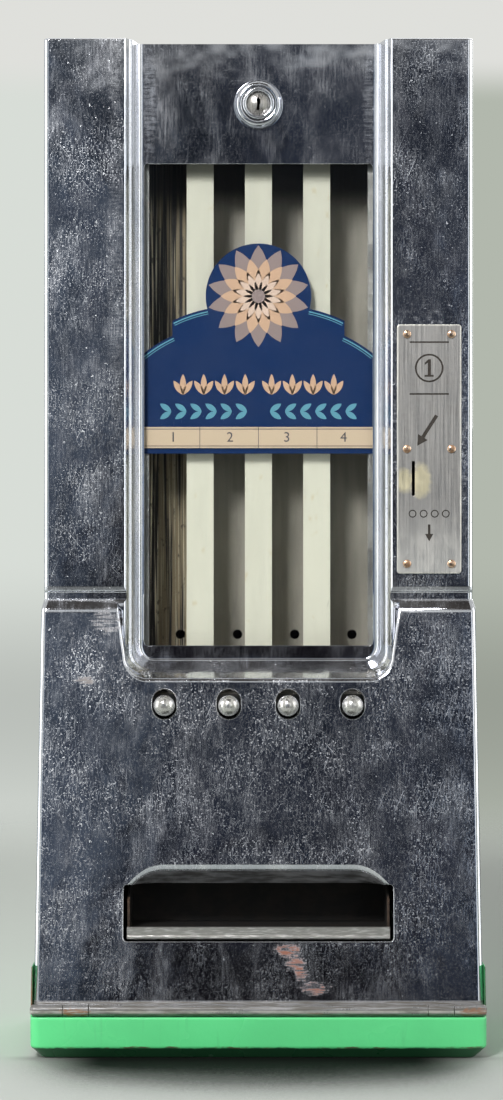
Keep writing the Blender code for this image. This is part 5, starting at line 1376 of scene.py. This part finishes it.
COLLAR_BORE = 0.0095
COLLAR_RADIUS = 0.0140
COLLAR_FOOT = 0.0003
COLLAR_HEIGHT = 0.0062
COLLAR_LIP = 0.0010
COLLAR_BORE_DROP = 0.0004
COLLAR_ARC = (-14, 104)         # its first angle and its sweep, in degrees
COLLAR_STEPS = 16
BEZEL_BORE = 0.0067
BEZEL_RADIUS = 0.0091
BEZEL_FRONT = 0.0076
PLUG_RADIUS = 0.0064
PLUG_DOME = 0.0120              # the radius of the plug's domed face
PLUG_FRONT = 0.0068
PLUG_STEPS = 12
PLUG_NICKEL = (0.40, 0.385, 0.365)
LOCK_STEPS = 72
KEYWAY_DEPTHS = (RECESS_DEPTH - 0.0100, RECESS_DEPTH + 0.0014)
KEYWAY = (
    # the keyway's outline, from the lock's middle
    (-0.0007, 0.0037), (-0.0007, 0.0026), (-0.0012, 0.0022), (-0.0007, 0.0004), (-0.0011, -0.0038),
    (0.0006, -0.0038), (0.0007, -0.0008), (0.0012, 0.0002), (0.0010, 0.0024), (0.0003, 0.0028),
    (0.0003, 0.0037),
)


def collar_profile():
    """The conical collar with a rounded brow."""
    profile = [(COLLAR_BORE, COLLAR_FOOT), (COLLAR_BORE, COLLAR_HEIGHT - COLLAR_BORE_DROP)]
    start = COLLAR_BORE + COLLAR_LIP
    for index in range(COLLAR_STEPS + 1):
        angle = math.radians(COLLAR_ARC[0] + COLLAR_ARC[1] * index / COLLAR_STEPS)
        radius = start + (COLLAR_RADIUS - COLLAR_BORE - COLLAR_LIP) * math.sin(angle)
        profile.append((radius, COLLAR_FOOT + (COLLAR_HEIGHT - COLLAR_FOOT) * math.cos(angle)))
    return profile


def bezel_profile(back):
    reach = (BEZEL_RADIUS - BEZEL_BORE) / 2
    ring = arc((BEZEL_BORE + reach, BEZEL_FRONT - reach), reach, 180, 0, 16)
    return [(BEZEL_BORE, back), *ring, (BEZEL_RADIUS, back)]


def plug_profile(back):
    """The plug with its slightly domed face."""
    profile = [(0, PLUG_FRONT)]
    for index in range(1, PLUG_STEPS + 1):
        angle = math.asin(PLUG_RADIUS / PLUG_DOME) * index / PLUG_STEPS
        profile.append((PLUG_DOME * math.sin(angle), PLUG_FRONT - PLUG_DOME * (1 - math.cos(angle))))
    return profile + [(PLUG_RADIUS, back), (0, back)]


def make_lock(collar_material, plug_material):
    panel = place_y(RECESS_DEPTH)
    lock_z = box_middle("lock_plug").z
    centre = (0, panel, lock_z)
    collar = turned("lock_collar_ring", collar_profile(), centre, LOCK_STEPS, closed=True)
    dress(smooth(collar), collar_material, "door", "chrome", "lock_collar")
    profile = bezel_profile(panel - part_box("lock_barrel")[1].y)
    barrel = turned("lock_barrel_ring", profile, centre, LOCK_STEPS, closed=True)
    dress(smooth(barrel), collar_material, "door", "chrome", "lock_barrel")
    profile = plug_profile(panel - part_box("lock_plug")[1].y)
    plug = turned("lock_plug_face", profile, centre, LOCK_STEPS)
    keyway = prism("keyway_cutter", [(x, lock_z + z) for x, z in KEYWAY], *KEYWAY_DEPTHS)
    # painted shade: the keyway's walls are near black
    keyway.data.materials.append(dark_material("keyway_black", BLACK_FILL_AND_SHADE))
    plug.data.materials.append(plug_material)
    boolean(plug, keyway)
    dress(smooth(plug), plug_material, "lock", "chrome", "lock_plug")


# Knobs

KNOB_RADIUS = 0.0059
KNOB_STEPS = 26
NECK_RADIUS = 0.0030
NECK_LENGTH = 0.0030
NECK_BEVEL = 0.0003
STEM_RADIUS = 0.0023
KNOB_NICKEL = (0.54, 0.53, 0.51)


def knob_profile(length):
    """A ball on a neck and a stem."""
    neck_angle = math.degrees(math.asin(NECK_RADIUS / KNOB_RADIUS))
    neck_end = -KNOB_RADIUS - NECK_LENGTH
    return [
        (0, KNOB_RADIUS),
        *arc((0, 0), KNOB_RADIUS, 84, neck_angle - 90, KNOB_STEPS),
        (NECK_RADIUS, -KNOB_RADIUS),
        (NECK_RADIUS, neck_end + NECK_BEVEL),
        (NECK_RADIUS - NECK_BEVEL, neck_end),
        (STEM_RADIUS, neck_end),
        (STEM_RADIUS, -length),
        (0, -length),
    ]


def make_knobs(material):
    for number in range(1, 5):
        node = "knob_" + str(number)
        low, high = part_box(node)
        middle = box_middle(node)
        centre = (middle.x, low.y + KNOB_RADIUS, middle.z)
        knob = turned("pull_knob_" + str(number), knob_profile(high.y - centre[1]), centre)
        dress(smooth(knob), material, "plunger_" + str(number), "chrome", node)


# Base and hinge beads

BASE_LOW, BASE_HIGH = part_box("base")
BASE_HEIGHT = 0.0228
BASE_CHAMFER = 0.0065
BASE_CORNER = 0.006
BASE_EDGE = 0.0011
BASE_CORNER_LEAST = 0.0015
BASE_CORNER_LOSS = 0.3          # its corners turn sharper under the chamfer, by this share of the inset
BASE_WALL = 0.008
WELL_CORNER = 0.003
WELL_FLOOR = 0.004
LIP_THICKNESS = 0.0009
LIP_OUTLINE = (
    # inwards from the base's side, and height
    (0, BASE_HEIGHT - 0.0004),
    (0, BASE_HEIGHT + 0.0010),
    (0.0005, BASE_HIGH.z - 0.0004),
    (0.0007, BASE_HIGH.z),
    (LIP_THICKNESS, BASE_HIGH.z - 0.0003),
    (LIP_THICKNESS, BASE_HEIGHT - 0.006),
)
BEAD_RADIUS = 0.0032
BEAD_BORE = 0.0016
BEAD_STEPS = 40
BEAD_ROUND = 0.0003
BEAD_END_ROUND = 0.0022
BEADS = ("door_bead_left", "door_bead_middle", "door_bead_right", "base_knuckle_left", "base_knuckle_right")


def base_outline(half, inset, corner, steps):
    return rounded_box(half - inset, BASE_LOW.y + inset, BASE_HIGH.y - inset, corner, steps)


def make_base(material):
    """A hollow casting with a chamfered foot and two lips beside the door's foot."""
    half = BASE_HIGH.x
    profile = [(0, half * 0.8), (0, BASE_CHAMFER), (BASE_CHAMFER, 0), (BASE_HEIGHT, 0), (BASE_HEIGHT, 0.0050)]
    sections = []
    for height, inset in rounded(profile, BASE_EDGE, 6)[1:-1]:
        corner = max(BASE_CORNER_LEAST, BASE_CORNER - inset * BASE_CORNER_LOSS)
        sections.append([(x, y, height) for x, y in base_outline(half, inset, corner, 8)])
    base = loft("base_casting", sections)
    well = base_outline(half, BASE_WALL, WELL_CORNER, 4)
    heights = (WELL_FLOOR, BASE_HEIGHT + OVERRUN)
    boolean(base, loft("base_well", [[(x, y, z) for x, y in well] for z in heights]))
    for side in (-1, 1):
        outline = [(side * (half - inwards), z) for inwards, z in LIP_OUTLINE]
        boolean(base, prism("base_lip", outline, FOOT_F, BASE_HIGH.y - FACE_Y - BASE_CORNER), "UNION")
    dress(smooth(base), material, "cabinet", "green_enamel", "base")


def make_beads(material):
    """The hinge's tubes: three on the door and two on the base, rounded where they end outside."""
    for node in BEADS:
        low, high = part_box(node)
        half = (high.x - low.x) / 2
        left = BEAD_END_ROUND if node == "door_bead_left" else BEAD_ROUND
        right = BEAD_END_ROUND if node == "door_bead_right" else BEAD_ROUND
        turns = quarter(ROUND_STEPS, first=0)
        profile = [(BEAD_BORE, -half)]
        profile += [(BEAD_RADIUS - left * below, -half + left * along) for along, below in turns]
        profile += [(BEAD_RADIUS - right * below, half - right * along) for along, below in reversed(turns)]
        profile.append((BEAD_BORE, half))
        bead = turned(node + "_round", profile, box_middle(node), BEAD_STEPS, closed=True, axis="x")
        body, slot = ("door", "chrome") if node.startswith("door") else ("cabinet", "steel")
        dress(smooth(bead), material, body, slot, node)


# Sign card's picture and number strip

CARD_LOW, CARD_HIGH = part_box("sign_card")
STRIP_LOW, STRIP_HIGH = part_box("number_strip")
PRINT_STEP = 0.00005
CARD_HALF = 0.0660
NAVY = (0.0035, 0.022, 0.090)
PEACH = (0.62, 0.40, 0.27)
MAUVE = (0.30, 0.23, 0.22)
ROSE = (0.70, 0.52, 0.42)
PALE_BLUE = (0.12, 0.33, 0.42)
FLOWER_Z = 0.4225
FLOWER_EYE = 0.0038
PETAL_STEPS = 10
FLOWER_PETALS = 14
FLOWER_REACH = 0.0290
PETAL_RINGS = (
    # piece, turned by a share of a petal, share of the flower's reach, width
    ("sign_outer_petals", 0, 1, 0.0110),
    ("sign_middle_petals", 1, 0.74, 0.0080),
    ("sign_inner_petals", 0, 0.46, 0.0042),
)
MEDALLION_RADIUS = 0.0300
SHOULDER_CURVES = (
    # the right half of the card's edge from its foot: start, control and end as (x, z)
    ((CARD_HALF, 0.3893), (0.0585, 0.3955), (0.0489, 0.4000)),
    ((0.0489, 0.4085), (0.0400, 0.4130), (0.0291, 0.4153)),
)
BORDERS = ((0.0013, 0.0007), (0.0027, 0.0004))      # inset and width
FAN_Z = 0.3665
FAN_FROM = 0.0075
FAN_STEP = 0.0118
FAN_WIDTH = 0.0034
FAN_BLADES = ((-34, 0.0096), (0, 0.0118), (34, 0.0096))     # lean in degrees, length
LEAF_Z = 0.3570
LEAF_FROM = 0.0065
LEAF_STEP = 0.0086
LEAF_LENGTH = 0.0078
LEAF_WIDTH = 0.0032
LEAF_LEAN = 34
STRIP_HALF = 0.0655
STRIP_CREAM = (0.64, 0.50, 0.36)
STRIP_INK = (0.035, 0.032, 0.040)
STRIP_CORNER = 0.0003
STRIP_BORDER = 0.0012
FIGURE_TALL = 0.66              # a share of the strip's height
FIGURE_STEP = 0.97              # a share of a column
STRIP_LINES = (0.00035, 0.0004)     # widths of the upright and the level lines
COLUMN_STEP = 0.0333


def flat_piece(name, shapes, y, material, slot):
    """Flat printed shapes of (x, z) points, just in front of a surface of the door."""
    bm = bmesh.new()
    for shape in shapes:
        bm.faces.new([bm.verts.new((x, y, z)) for x, z in shape])
    for face in bm.faces:
        face.normal_update()
        if face.normal.y > 0:
            face.normal_flip()
    dress(mesh_object(name, bm), material, "door", slot)


def almond(start, angle, reach, width):
    """A leaf or petal that starts at a place."""
    points = []
    for side in (1, -1):
        for index in range(PETAL_STEPS):
            share = index / PETAL_STEPS if side == 1 else 1 - index / PETAL_STEPS
            across = side * width / 2 * math.sin(math.pi * share) ** 0.8
            along = share * reach
            x = start[0] + along * math.cos(angle) - across * math.sin(angle)
            z = start[1] + along * math.sin(angle) + across * math.cos(angle)
            points.append((x, z))
    return points


def sign_outline():
    """The card's edge: two stepped shoulders and a round head in the middle."""
    right = [(CARD_HALF, CARD_LOW.z)]
    for curve in SHOULDER_CURVES:
        right += bent(*curve)
    joint = SHOULDER_CURVES[-1][-1]
    first = math.degrees(math.asin((joint[1] - FLOWER_Z) / MEDALLION_RADIUS))
    right += arc((0, FLOWER_Z), MEDALLION_RADIUS, first, 90, 24)[1:]
    return right + [(-x, z) for x, z in reversed(right[:-1])]


def ribbon(line, inset, width):
    """A strip of even width that follows a line, a little inside it."""
    return grown(line, -inset) + grown(line, -inset - width)[::-1]


def print_flower(materials):
    layer = CARD_LOW.y - PRINT_STEP
    centre = (0, FLOWER_Z)
    for number, (name, turn, share, width) in enumerate(PETAL_RINGS):
        petals = []
        for index in range(FLOWER_PETALS):
            angle = 2 * math.pi * index / FLOWER_PETALS + math.pi / 2 + turn * math.pi / FLOWER_PETALS
            petals.append(almond(centre, angle, FLOWER_REACH * share, width))
        flat_piece(name, petals, layer - number * PRINT_STEP, materials[number], "blue_card")
    eye = [disc(centre, FLOWER_EYE)]
    flat_piece("sign_flower_eye", eye, layer - 3 * PRINT_STEP, materials[0], "blue_card")


def print_borders(peach, pale_blue):
    """Fans, leaves and border lines, alike on both halves of the card."""
    fans = []
    leaves = []
    borders = []
    for side in (-1, 1):
        for index in range(4):
            place = (side * (FAN_FROM + index * FAN_STEP), FAN_Z)
            fans += [almond(place, math.radians(90 + lean), reach, FAN_WIDTH) for lean, reach in FAN_BLADES]
        for index in range(6):
            place = (side * (LEAF_FROM + index * LEAF_STEP), LEAF_Z)
            for up in (-1, 1):
                angle = math.radians(90 - side * 90 + side * up * LEAF_LEAN)
                leaves.append(almond(place, angle, LEAF_LENGTH, LEAF_WIDTH))
        for curve in SHOULDER_CURVES:
            line = [(side * x, z) for x, z in bent(*curve)][::side]
            borders += [ribbon(line, inset, width) for inset, width in BORDERS]
    layer = CARD_LOW.y - PRINT_STEP
    flat_piece("sign_fans", fans, layer, peach, "blue_card")
    flat_piece("sign_leaves", leaves, layer, pale_blue, "blue_card")
    flat_piece("sign_borders", borders, layer, pale_blue, "blue_card")


def make_sign():
    mauve = card_material("print_mauve", MAUVE)
    peach = card_material("print_peach", PEACH)
    rose = card_material("print_rose", ROSE)
    sheet = prism("sign_sheet", sign_outline(), CARD_LOW.y - FACE_Y, CARD_HIGH.y - FACE_Y)
    dress(sheet, card_material("card_navy", NAVY), "door", "blue_card", "sign_card")
    print_flower((mauve, peach, rose))
    print_borders(peach, card_material("print_pale_blue", PALE_BLUE))


def figure(name, body, size, place):
    """A plain number as a flat mesh."""
    curve = bpy.data.curves.new(name, "FONT")
    curve.body = body
    curve.size = size
    curve.align_x = "CENTER"
    curve.align_y = "CENTER"
    source = add_object(name, curve)
    source.location = place
    source.rotation_euler = (math.pi / 2, 0, 0)
    bpy.context.view_layer.update()
    graph = bpy.context.evaluated_depsgraph_get()
    mesh = bpy.data.meshes.new_from_object(source.evaluated_get(graph))
    mesh.transform(source.matrix_world)
    bpy.data.objects.remove(source, do_unlink=True)
    mesh.materials.clear()
    return add_object(name, mesh)


def make_strip():
    """The strip of numbered cells under the card."""
    ink = dark_material("strip_ink", STRIP_INK)
    low, high = STRIP_LOW.z, STRIP_HIGH.z
    outline = rounded_box(STRIP_HALF, low, high, STRIP_CORNER, 2)
    strip = prism("number_sheet", outline, STRIP_LOW.y - FACE_Y, STRIP_HIGH.y - FACE_Y)
    dress(strip, card_material("strip_cream", STRIP_CREAM), "door", "cream_card", "number_strip")
    front = STRIP_LOW.y - PRINT_STEP
    upright, level = STRIP_LINES
    lines = [stroke((x, low), (x, high), upright) for x in (-COLUMN_STEP, 0, COLUMN_STEP)]
    for z in (low + STRIP_BORDER, high - STRIP_BORDER):
        lines.append(stroke((-STRIP_HALF, z), (STRIP_HALF, z), level))
    flat_piece("strip_lines", lines, front, ink, "cream_card")
    for index in range(4):
        number = str(index + 1)
        place = ((index - 1.5) * COLUMN_STEP * FIGURE_STEP, front, (low + high) / 2)
        piece = figure("strip_number_" + number, number, (high - low) * FIGURE_TALL, place)
        dress(piece, ink, "door", "cream_card")


# Materials on the CAD nodes that stay

STEEL_NODES = (
    "corner_angle_left", "corner_angle_right", "hinge_rod", "coin_throat", "coin_chute", "coin_box",
    "slide_bed", "bed_cheek_left", "bed_cheek_right", "spring_rod", "lock_bar", "glass_frame",
    "glass_retainer_left", "glass_retainer_right", "lock_nut", "lock_cam", "cam_screw", "lock_catch",
    "slide_1", "slide_2", "slide_3", "slide_4",
)


def assign(material, *nodes):
    """Put a material on CAD nodes."""
    for node in nodes:
        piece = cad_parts[node]
        if not piece.material_slots:
            piece.data.materials.append(material)
        for slot in piece.material_slots:
            slot.material = material


def dress_nodes():
    assign(cabinet_enamel("cabinet_enamel", "cabinet_shell"), "cabinet_shell")
    assign(streaked_material("magazine_streaked"), "magazine_shell")
    assign(tray_material("tray_metal_worn"), "delivery_tray")
    assign(glass_material("window_clear"), "window_glass")
    assign(brass_material("lever_brass", *LEVER_BRASS), "coin_lever")
    assign(paint_material("divider_cream"), "divider_1", "divider_2", "divider_3")
    assign(steel_material("spring_steel", SPRING_STEEL, 0.1), "spring_1", "spring_2", "spring_3", "spring_4")
    assign(steel_material("inner_steel", STEEL, 0.3), *STEEL_NODES)


# Studio

FLOOR_REACH = 1.7
FLOOR_Z = -0.0002
FLOOR_FADE = (0.80, 1.60)       # the floor melts into the background between these distances
FLOOR_TONES = ((0.500, 0.528, 0.494), (0.522, 0.552, 0.517))
FLOOR_SHADE = (0.003, 0.006, 0.004)
FLOOR_RIGHT_SHADOW = (0.0, 0.20, 0.0, 0.28)    # a painted shadow: it darkens over this width, by this share
CONTACT_REACH = 0.20
CONTACT_OPEN = (0.725, 0.926)   # how open the sky is where the shade in front is deepest and where it ends
CONTACT_FRONT = (-0.070, -0.060)
CONTACT_SAMPLES = 16
CONTACT_SIDES = (0.085, 0.150)
DARK_Y = -1.95
DARK_HALF = 0.75
DARK_FOOT = 0.01
DARK_TOP = 2.30
DARK_TONES = {
    "left": (0.062, 0.077, 0.102),
    "middle": (0.021, 0.025, 0.036),
    "right": (0.026, 0.031, 0.044),
    "low": (0.007, 0.006, 0.008),
    "side": (0.170, 0.235, 0.335),
    "band": (0.620, 0.630, 0.620),
    "high": (0.070, 0.063, 0.056),
}
DARK_BAND = (0.88, 0.98, 1.48, 1.56)    # a pale band high on the card, which rounded edges catch
DARK_LEFT_END = (-0.20, -0.08)
DARK_RIGHT_START = (0.08, 0.20)
DARK_LOW = (0.30, 0.46)
DARK_LOW_HALF = (0.15, 0.24)
DARK_SIDE = (0.29, 0.42)
DIM_FLOOR_NEAR = -0.45
DIM_FLOOR_FADE = -0.95
DIM_FLOOR_Z = 0.003
DIM_FLOOR_TONES = ((0.085, 0.088, 0.085), (0.300, 0.310, 0.300))
DIM_CEILING_NEAR = -0.35
MACHINE_MIDDLE = (0, -0.03, 0.30)
SIDE_MIDDLE = (0, -0.05, 0.30)
LAMPS = (
    # name, place, target, size, watts
    ("key", (-0.55, -1.45, 1.36), MACHINE_MIDDLE, (0.35, 0.5), 33),
    ("left_side", (-1.15, -0.20, 0.40), SIDE_MIDDLE, (0.7, 1.3), 7),
    ("right_side", (1.15, -0.20, 0.40), SIDE_MIDDLE, (0.7, 1.3), 7),
    ("top", (0, 0.75, 2.10), (0, 0, 0.30), (1.8, 1.2), 7),
    ("rear", (0.5, 1.90, 1.00), MACHINE_MIDDLE, (1.4, 1.2), 17),
    ("fill", (0.9, -2.2, 0.7), MACHINE_MIDDLE, (1.0, 1.2), 4),
)
WORLD_DIFFUSE = 0.22
BACK_LEFT = (0.686, 0.724, 0.680)
BACK_RIGHT_SHADOW = (0.445, 0.479, 0.418)
BACK_TOP = (0.738, 0.742, 0.712)
BACK_SIDES = (-0.06, 0.07)
BACK_TOP_FROM = (0.152, 0.168)
BACK_DIP = (-0.124, -0.054, -0.002)
BACK_DIP_DEPTH = 0.28
BLACK = (0, 0, 0)


def contact_shade(tree):
    """How deep the contact shade is: 1 close in front of the machine and 0 on open floor."""
    contact = tree.nodes.new("ShaderNodeAmbientOcclusion")
    contact.samples = CONTACT_SAMPLES
    contact.inputs["Distance"].default_value = CONTACT_REACH
    shade = Value(tree, contact.outputs["AO"]).fall(*CONTACT_OPEN)
    front = axis(tree, "Y").fall(*CONTACT_FRONT)
    return shade * front * abs(axis(tree, "X")).fall(*CONTACT_SIDES)


def make_floor():
    """A pale round floor that darkens close to what stands on it, with a painted shadow to the right, and
    melts into the background.
    """
    bm = bmesh.new()
    bm.faces.new([bm.verts.new((x, y, FLOOR_Z)) for x, y in disc((0, 0), FLOOR_REACH, 64)])
    floor = make_object("studio_floor", bm)
    material, tree, shader = new_material("studio_pale")
    pale = mixed(noise(tree, 0.4, 2.0), *FLOOR_TONES)
    # painted shadow towards the right
    pale = mixed(axis(tree, "X").ramp(*FLOOR_RIGHT_SHADOW), pale, BLACK)
    wire(shader, mixed(contact_shade(tree), pale, FLOOR_SHADE), 0.9)
    shader.inputs["Specular IOR Level"].default_value = 0.1
    source = tree.nodes.new("ShaderNodeTexCoord")
    see_through(tree, shader, length(tree, source.outputs["Object"]).ramp(*FLOOR_FADE))
    floor.data.materials.append(material)


def glossy_card(name, corners, material):
    """A card that is seen only in polished faces and through the glass."""
    bm = bmesh.new()
    bm.faces.new([bm.verts.new(corner) for corner in corners])
    card = make_object(name, bm)
    card.data.materials.append(material)
    card.visible_camera = False
    card.visible_diffuse = False
    card.visible_shadow = False
    card.visible_volume_scatter = False


def glowing_material(name):
    """A black material whose look is all in its emission."""
    material, tree, shader = new_material(name)
    feed(shader.inputs["Base Color"], BLACK)
    feed(shader.inputs["Specular IOR Level"], 0.0)
    return material, tree, shader


def make_dark_card():
    """A dark card in front of the machine, with a pale band high up."""
    material, tree, shader = glowing_material("studio_dark")
    across = axis(tree, "X")
    height = axis(tree, "Z")
    tone = mixed(across.ramp(*DARK_LEFT_END), DARK_TONES["left"], DARK_TONES["middle"])
    tone = mixed(across.ramp(*DARK_RIGHT_START), tone, DARK_TONES["right"])
    outward = abs(across)
    tone = mixed(height.fall(*DARK_LOW) * outward.fall(*DARK_LOW_HALF), tone, DARK_TONES["low"])
    tone = mixed(outward.ramp(*DARK_SIDE), tone, DARK_TONES["side"])
    tone = mixed(height.ramp(*DARK_BAND[1:3]), tone, DARK_TONES["high"])
    tone = mixed(height.ramp(*DARK_BAND[:2]) * height.fall(*DARK_BAND[2:]), tone, DARK_TONES["band"])
    feed(shader.inputs["Emission Color"], tone)
    patches = noise(tree, (0.06, 0.2, 0.26), 2.0).ramp(0.38, 0.66, 0.60, 1.60)
    feed(shader.inputs["Emission Strength"], patches)
    corners = [(-DARK_HALF, DARK_FOOT), (DARK_HALF, DARK_FOOT), (DARK_HALF, DARK_TOP), (-DARK_HALF, DARK_TOP)]
    glossy_card("studio_dark_card", [(x, DARK_Y, z) for x, z in corners], material)


def make_dark_ends():
    """Dark cards above and below, so that edges which lean up or down stay dim too."""
    material, tree, shader = glowing_material("studio_dim")
    below = mixed(axis(tree, "Y").ramp(DIM_FLOOR_FADE, DIM_FLOOR_NEAR), *DIM_FLOOR_TONES)
    above = axis(tree, "Z").ramp(DARK_TOP * 0.4, DARK_TOP * 0.6)
    feed(shader.inputs["Emission Color"], mixed(above, below, DARK_TONES["high"]))
    feed(shader.inputs["Emission Strength"], noise(tree, 0.3, 2.0).ramp(0.3, 0.7, 0.8, 1.2))
    for name, near, height in (
        ("studio_dim_floor", DIM_FLOOR_NEAR, DIM_FLOOR_Z),
        ("studio_dim_ceiling", DIM_CEILING_NEAR, DARK_TOP),
    ):
        corners = [(-DARK_HALF, DARK_Y), (DARK_HALF, DARK_Y), (DARK_HALF, near), (-DARK_HALF, near)]
        glossy_card(name, [(x, y, height) for x, y in corners], material)


def area_light(name, place, target, size, power):
    data = bpy.data.lights.new(name, "AREA")
    data.shape = "RECTANGLE"
    data.size, data.size_y = size
    data.energy = power
    light = add_object(name, data)
    light.location = place
    light.rotation_euler = (Vector(target) - Vector(place)).to_track_quat("-Z", "Y").to_euler()


def make_world():
    """A pale background, darker to the right where a shadow of the machine is painted, and a dim sky of the
    same colour.
    """
    world = bpy.context.scene.world or bpy.data.worlds.new("studio")
    bpy.context.scene.world = world
    world.use_nodes = True
    tree = world.node_tree
    background = [node for node in tree.nodes if node.type == "BACKGROUND"][0]
    # painted shadow of the machine on the background's right
    tone = mixed(axis(tree, "X", "Generated").ramp(*BACK_SIDES), BACK_LEFT, BACK_RIGHT_SHADOW)
    rise = axis(tree, "Z", "Generated")
    low, deepest, high = BACK_DIP
    tone = mixed(rise.ramp(low, deepest) * rise.ramp(deepest, high, BACK_DIP_DEPTH, 0.0), tone, BLACK)
    feed(background.inputs["Color"], mixed(rise.ramp(*BACK_TOP_FROM), tone, BACK_TOP))
    path = tree.nodes.new("ShaderNodeLightPath")
    rays = ("Is Camera Ray", "Is Glossy Ray", "Is Transmission Ray")
    camera, glossy, through = (Value(tree, path.outputs[ray]) for ray in rays)
    seen = (camera + glossy).math("ADD", through, clamp=True)
    feed(background.inputs["Strength"], seen * (1 - WORLD_DIFFUSE) + WORLD_DIFFUSE)


def make_studio():
    make_floor()
    make_dark_card()
    make_dark_ends()
    for lamp in LAMPS:
        area_light(*lamp)
    make_world()


def make_camera():
    """The photograph's view, from its scale, its middle line and its horizon."""
    data = bpy.data.cameras.new("camera")
    data.sensor_width = SENSOR_MM
    data.lens = SENSOR_MM * CAMERA_DISTANCE / (PHOTO_TALL_PX * METRES_PER_PX)
    data.shift_x = (PHOTO_WIDE_PX / 2 - AXIS_PX) / PHOTO_TALL_PX
    data.shift_y = (HORIZON_PX - PHOTO_TALL_PX / 2) / PHOTO_TALL_PX
    camera = add_object("camera", data)
    camera.location = (0, FACE_Y - CAMERA_DISTANCE, CAMERA_HEIGHT)
    camera.rotation_euler = (math.pi / 2, 0, 0)
    bpy.context.scene.camera = camera


def build():
    make_camera()
    make_studio()
    dress_nodes()
    make_door(chrome_material("door_chrome", 1.0, DOOR_SPOTS, door=True))
    bright = chrome_material("bright_chrome", 0.50)
    make_lock(bright, nickel_material("plug_nickel", PLUG_NICKEL, 0.0006, 0.20))
    make_coin_plate()
    make_plate_screws(brass_material("rivet_copper", *RIVET_COPPER))
    make_knobs(nickel_material("knob_nickel", KNOB_NICKEL, 0.0012, 0.14))
    make_base(base_enamel("base_enamel"))
    make_beads(chrome_material("bead_chrome", 1.4, BEAD_SPOTS, door=True))
    make_sign()
    make_strip()
    bpy.context.scene.view_settings.view_transform = "Standard"


build()
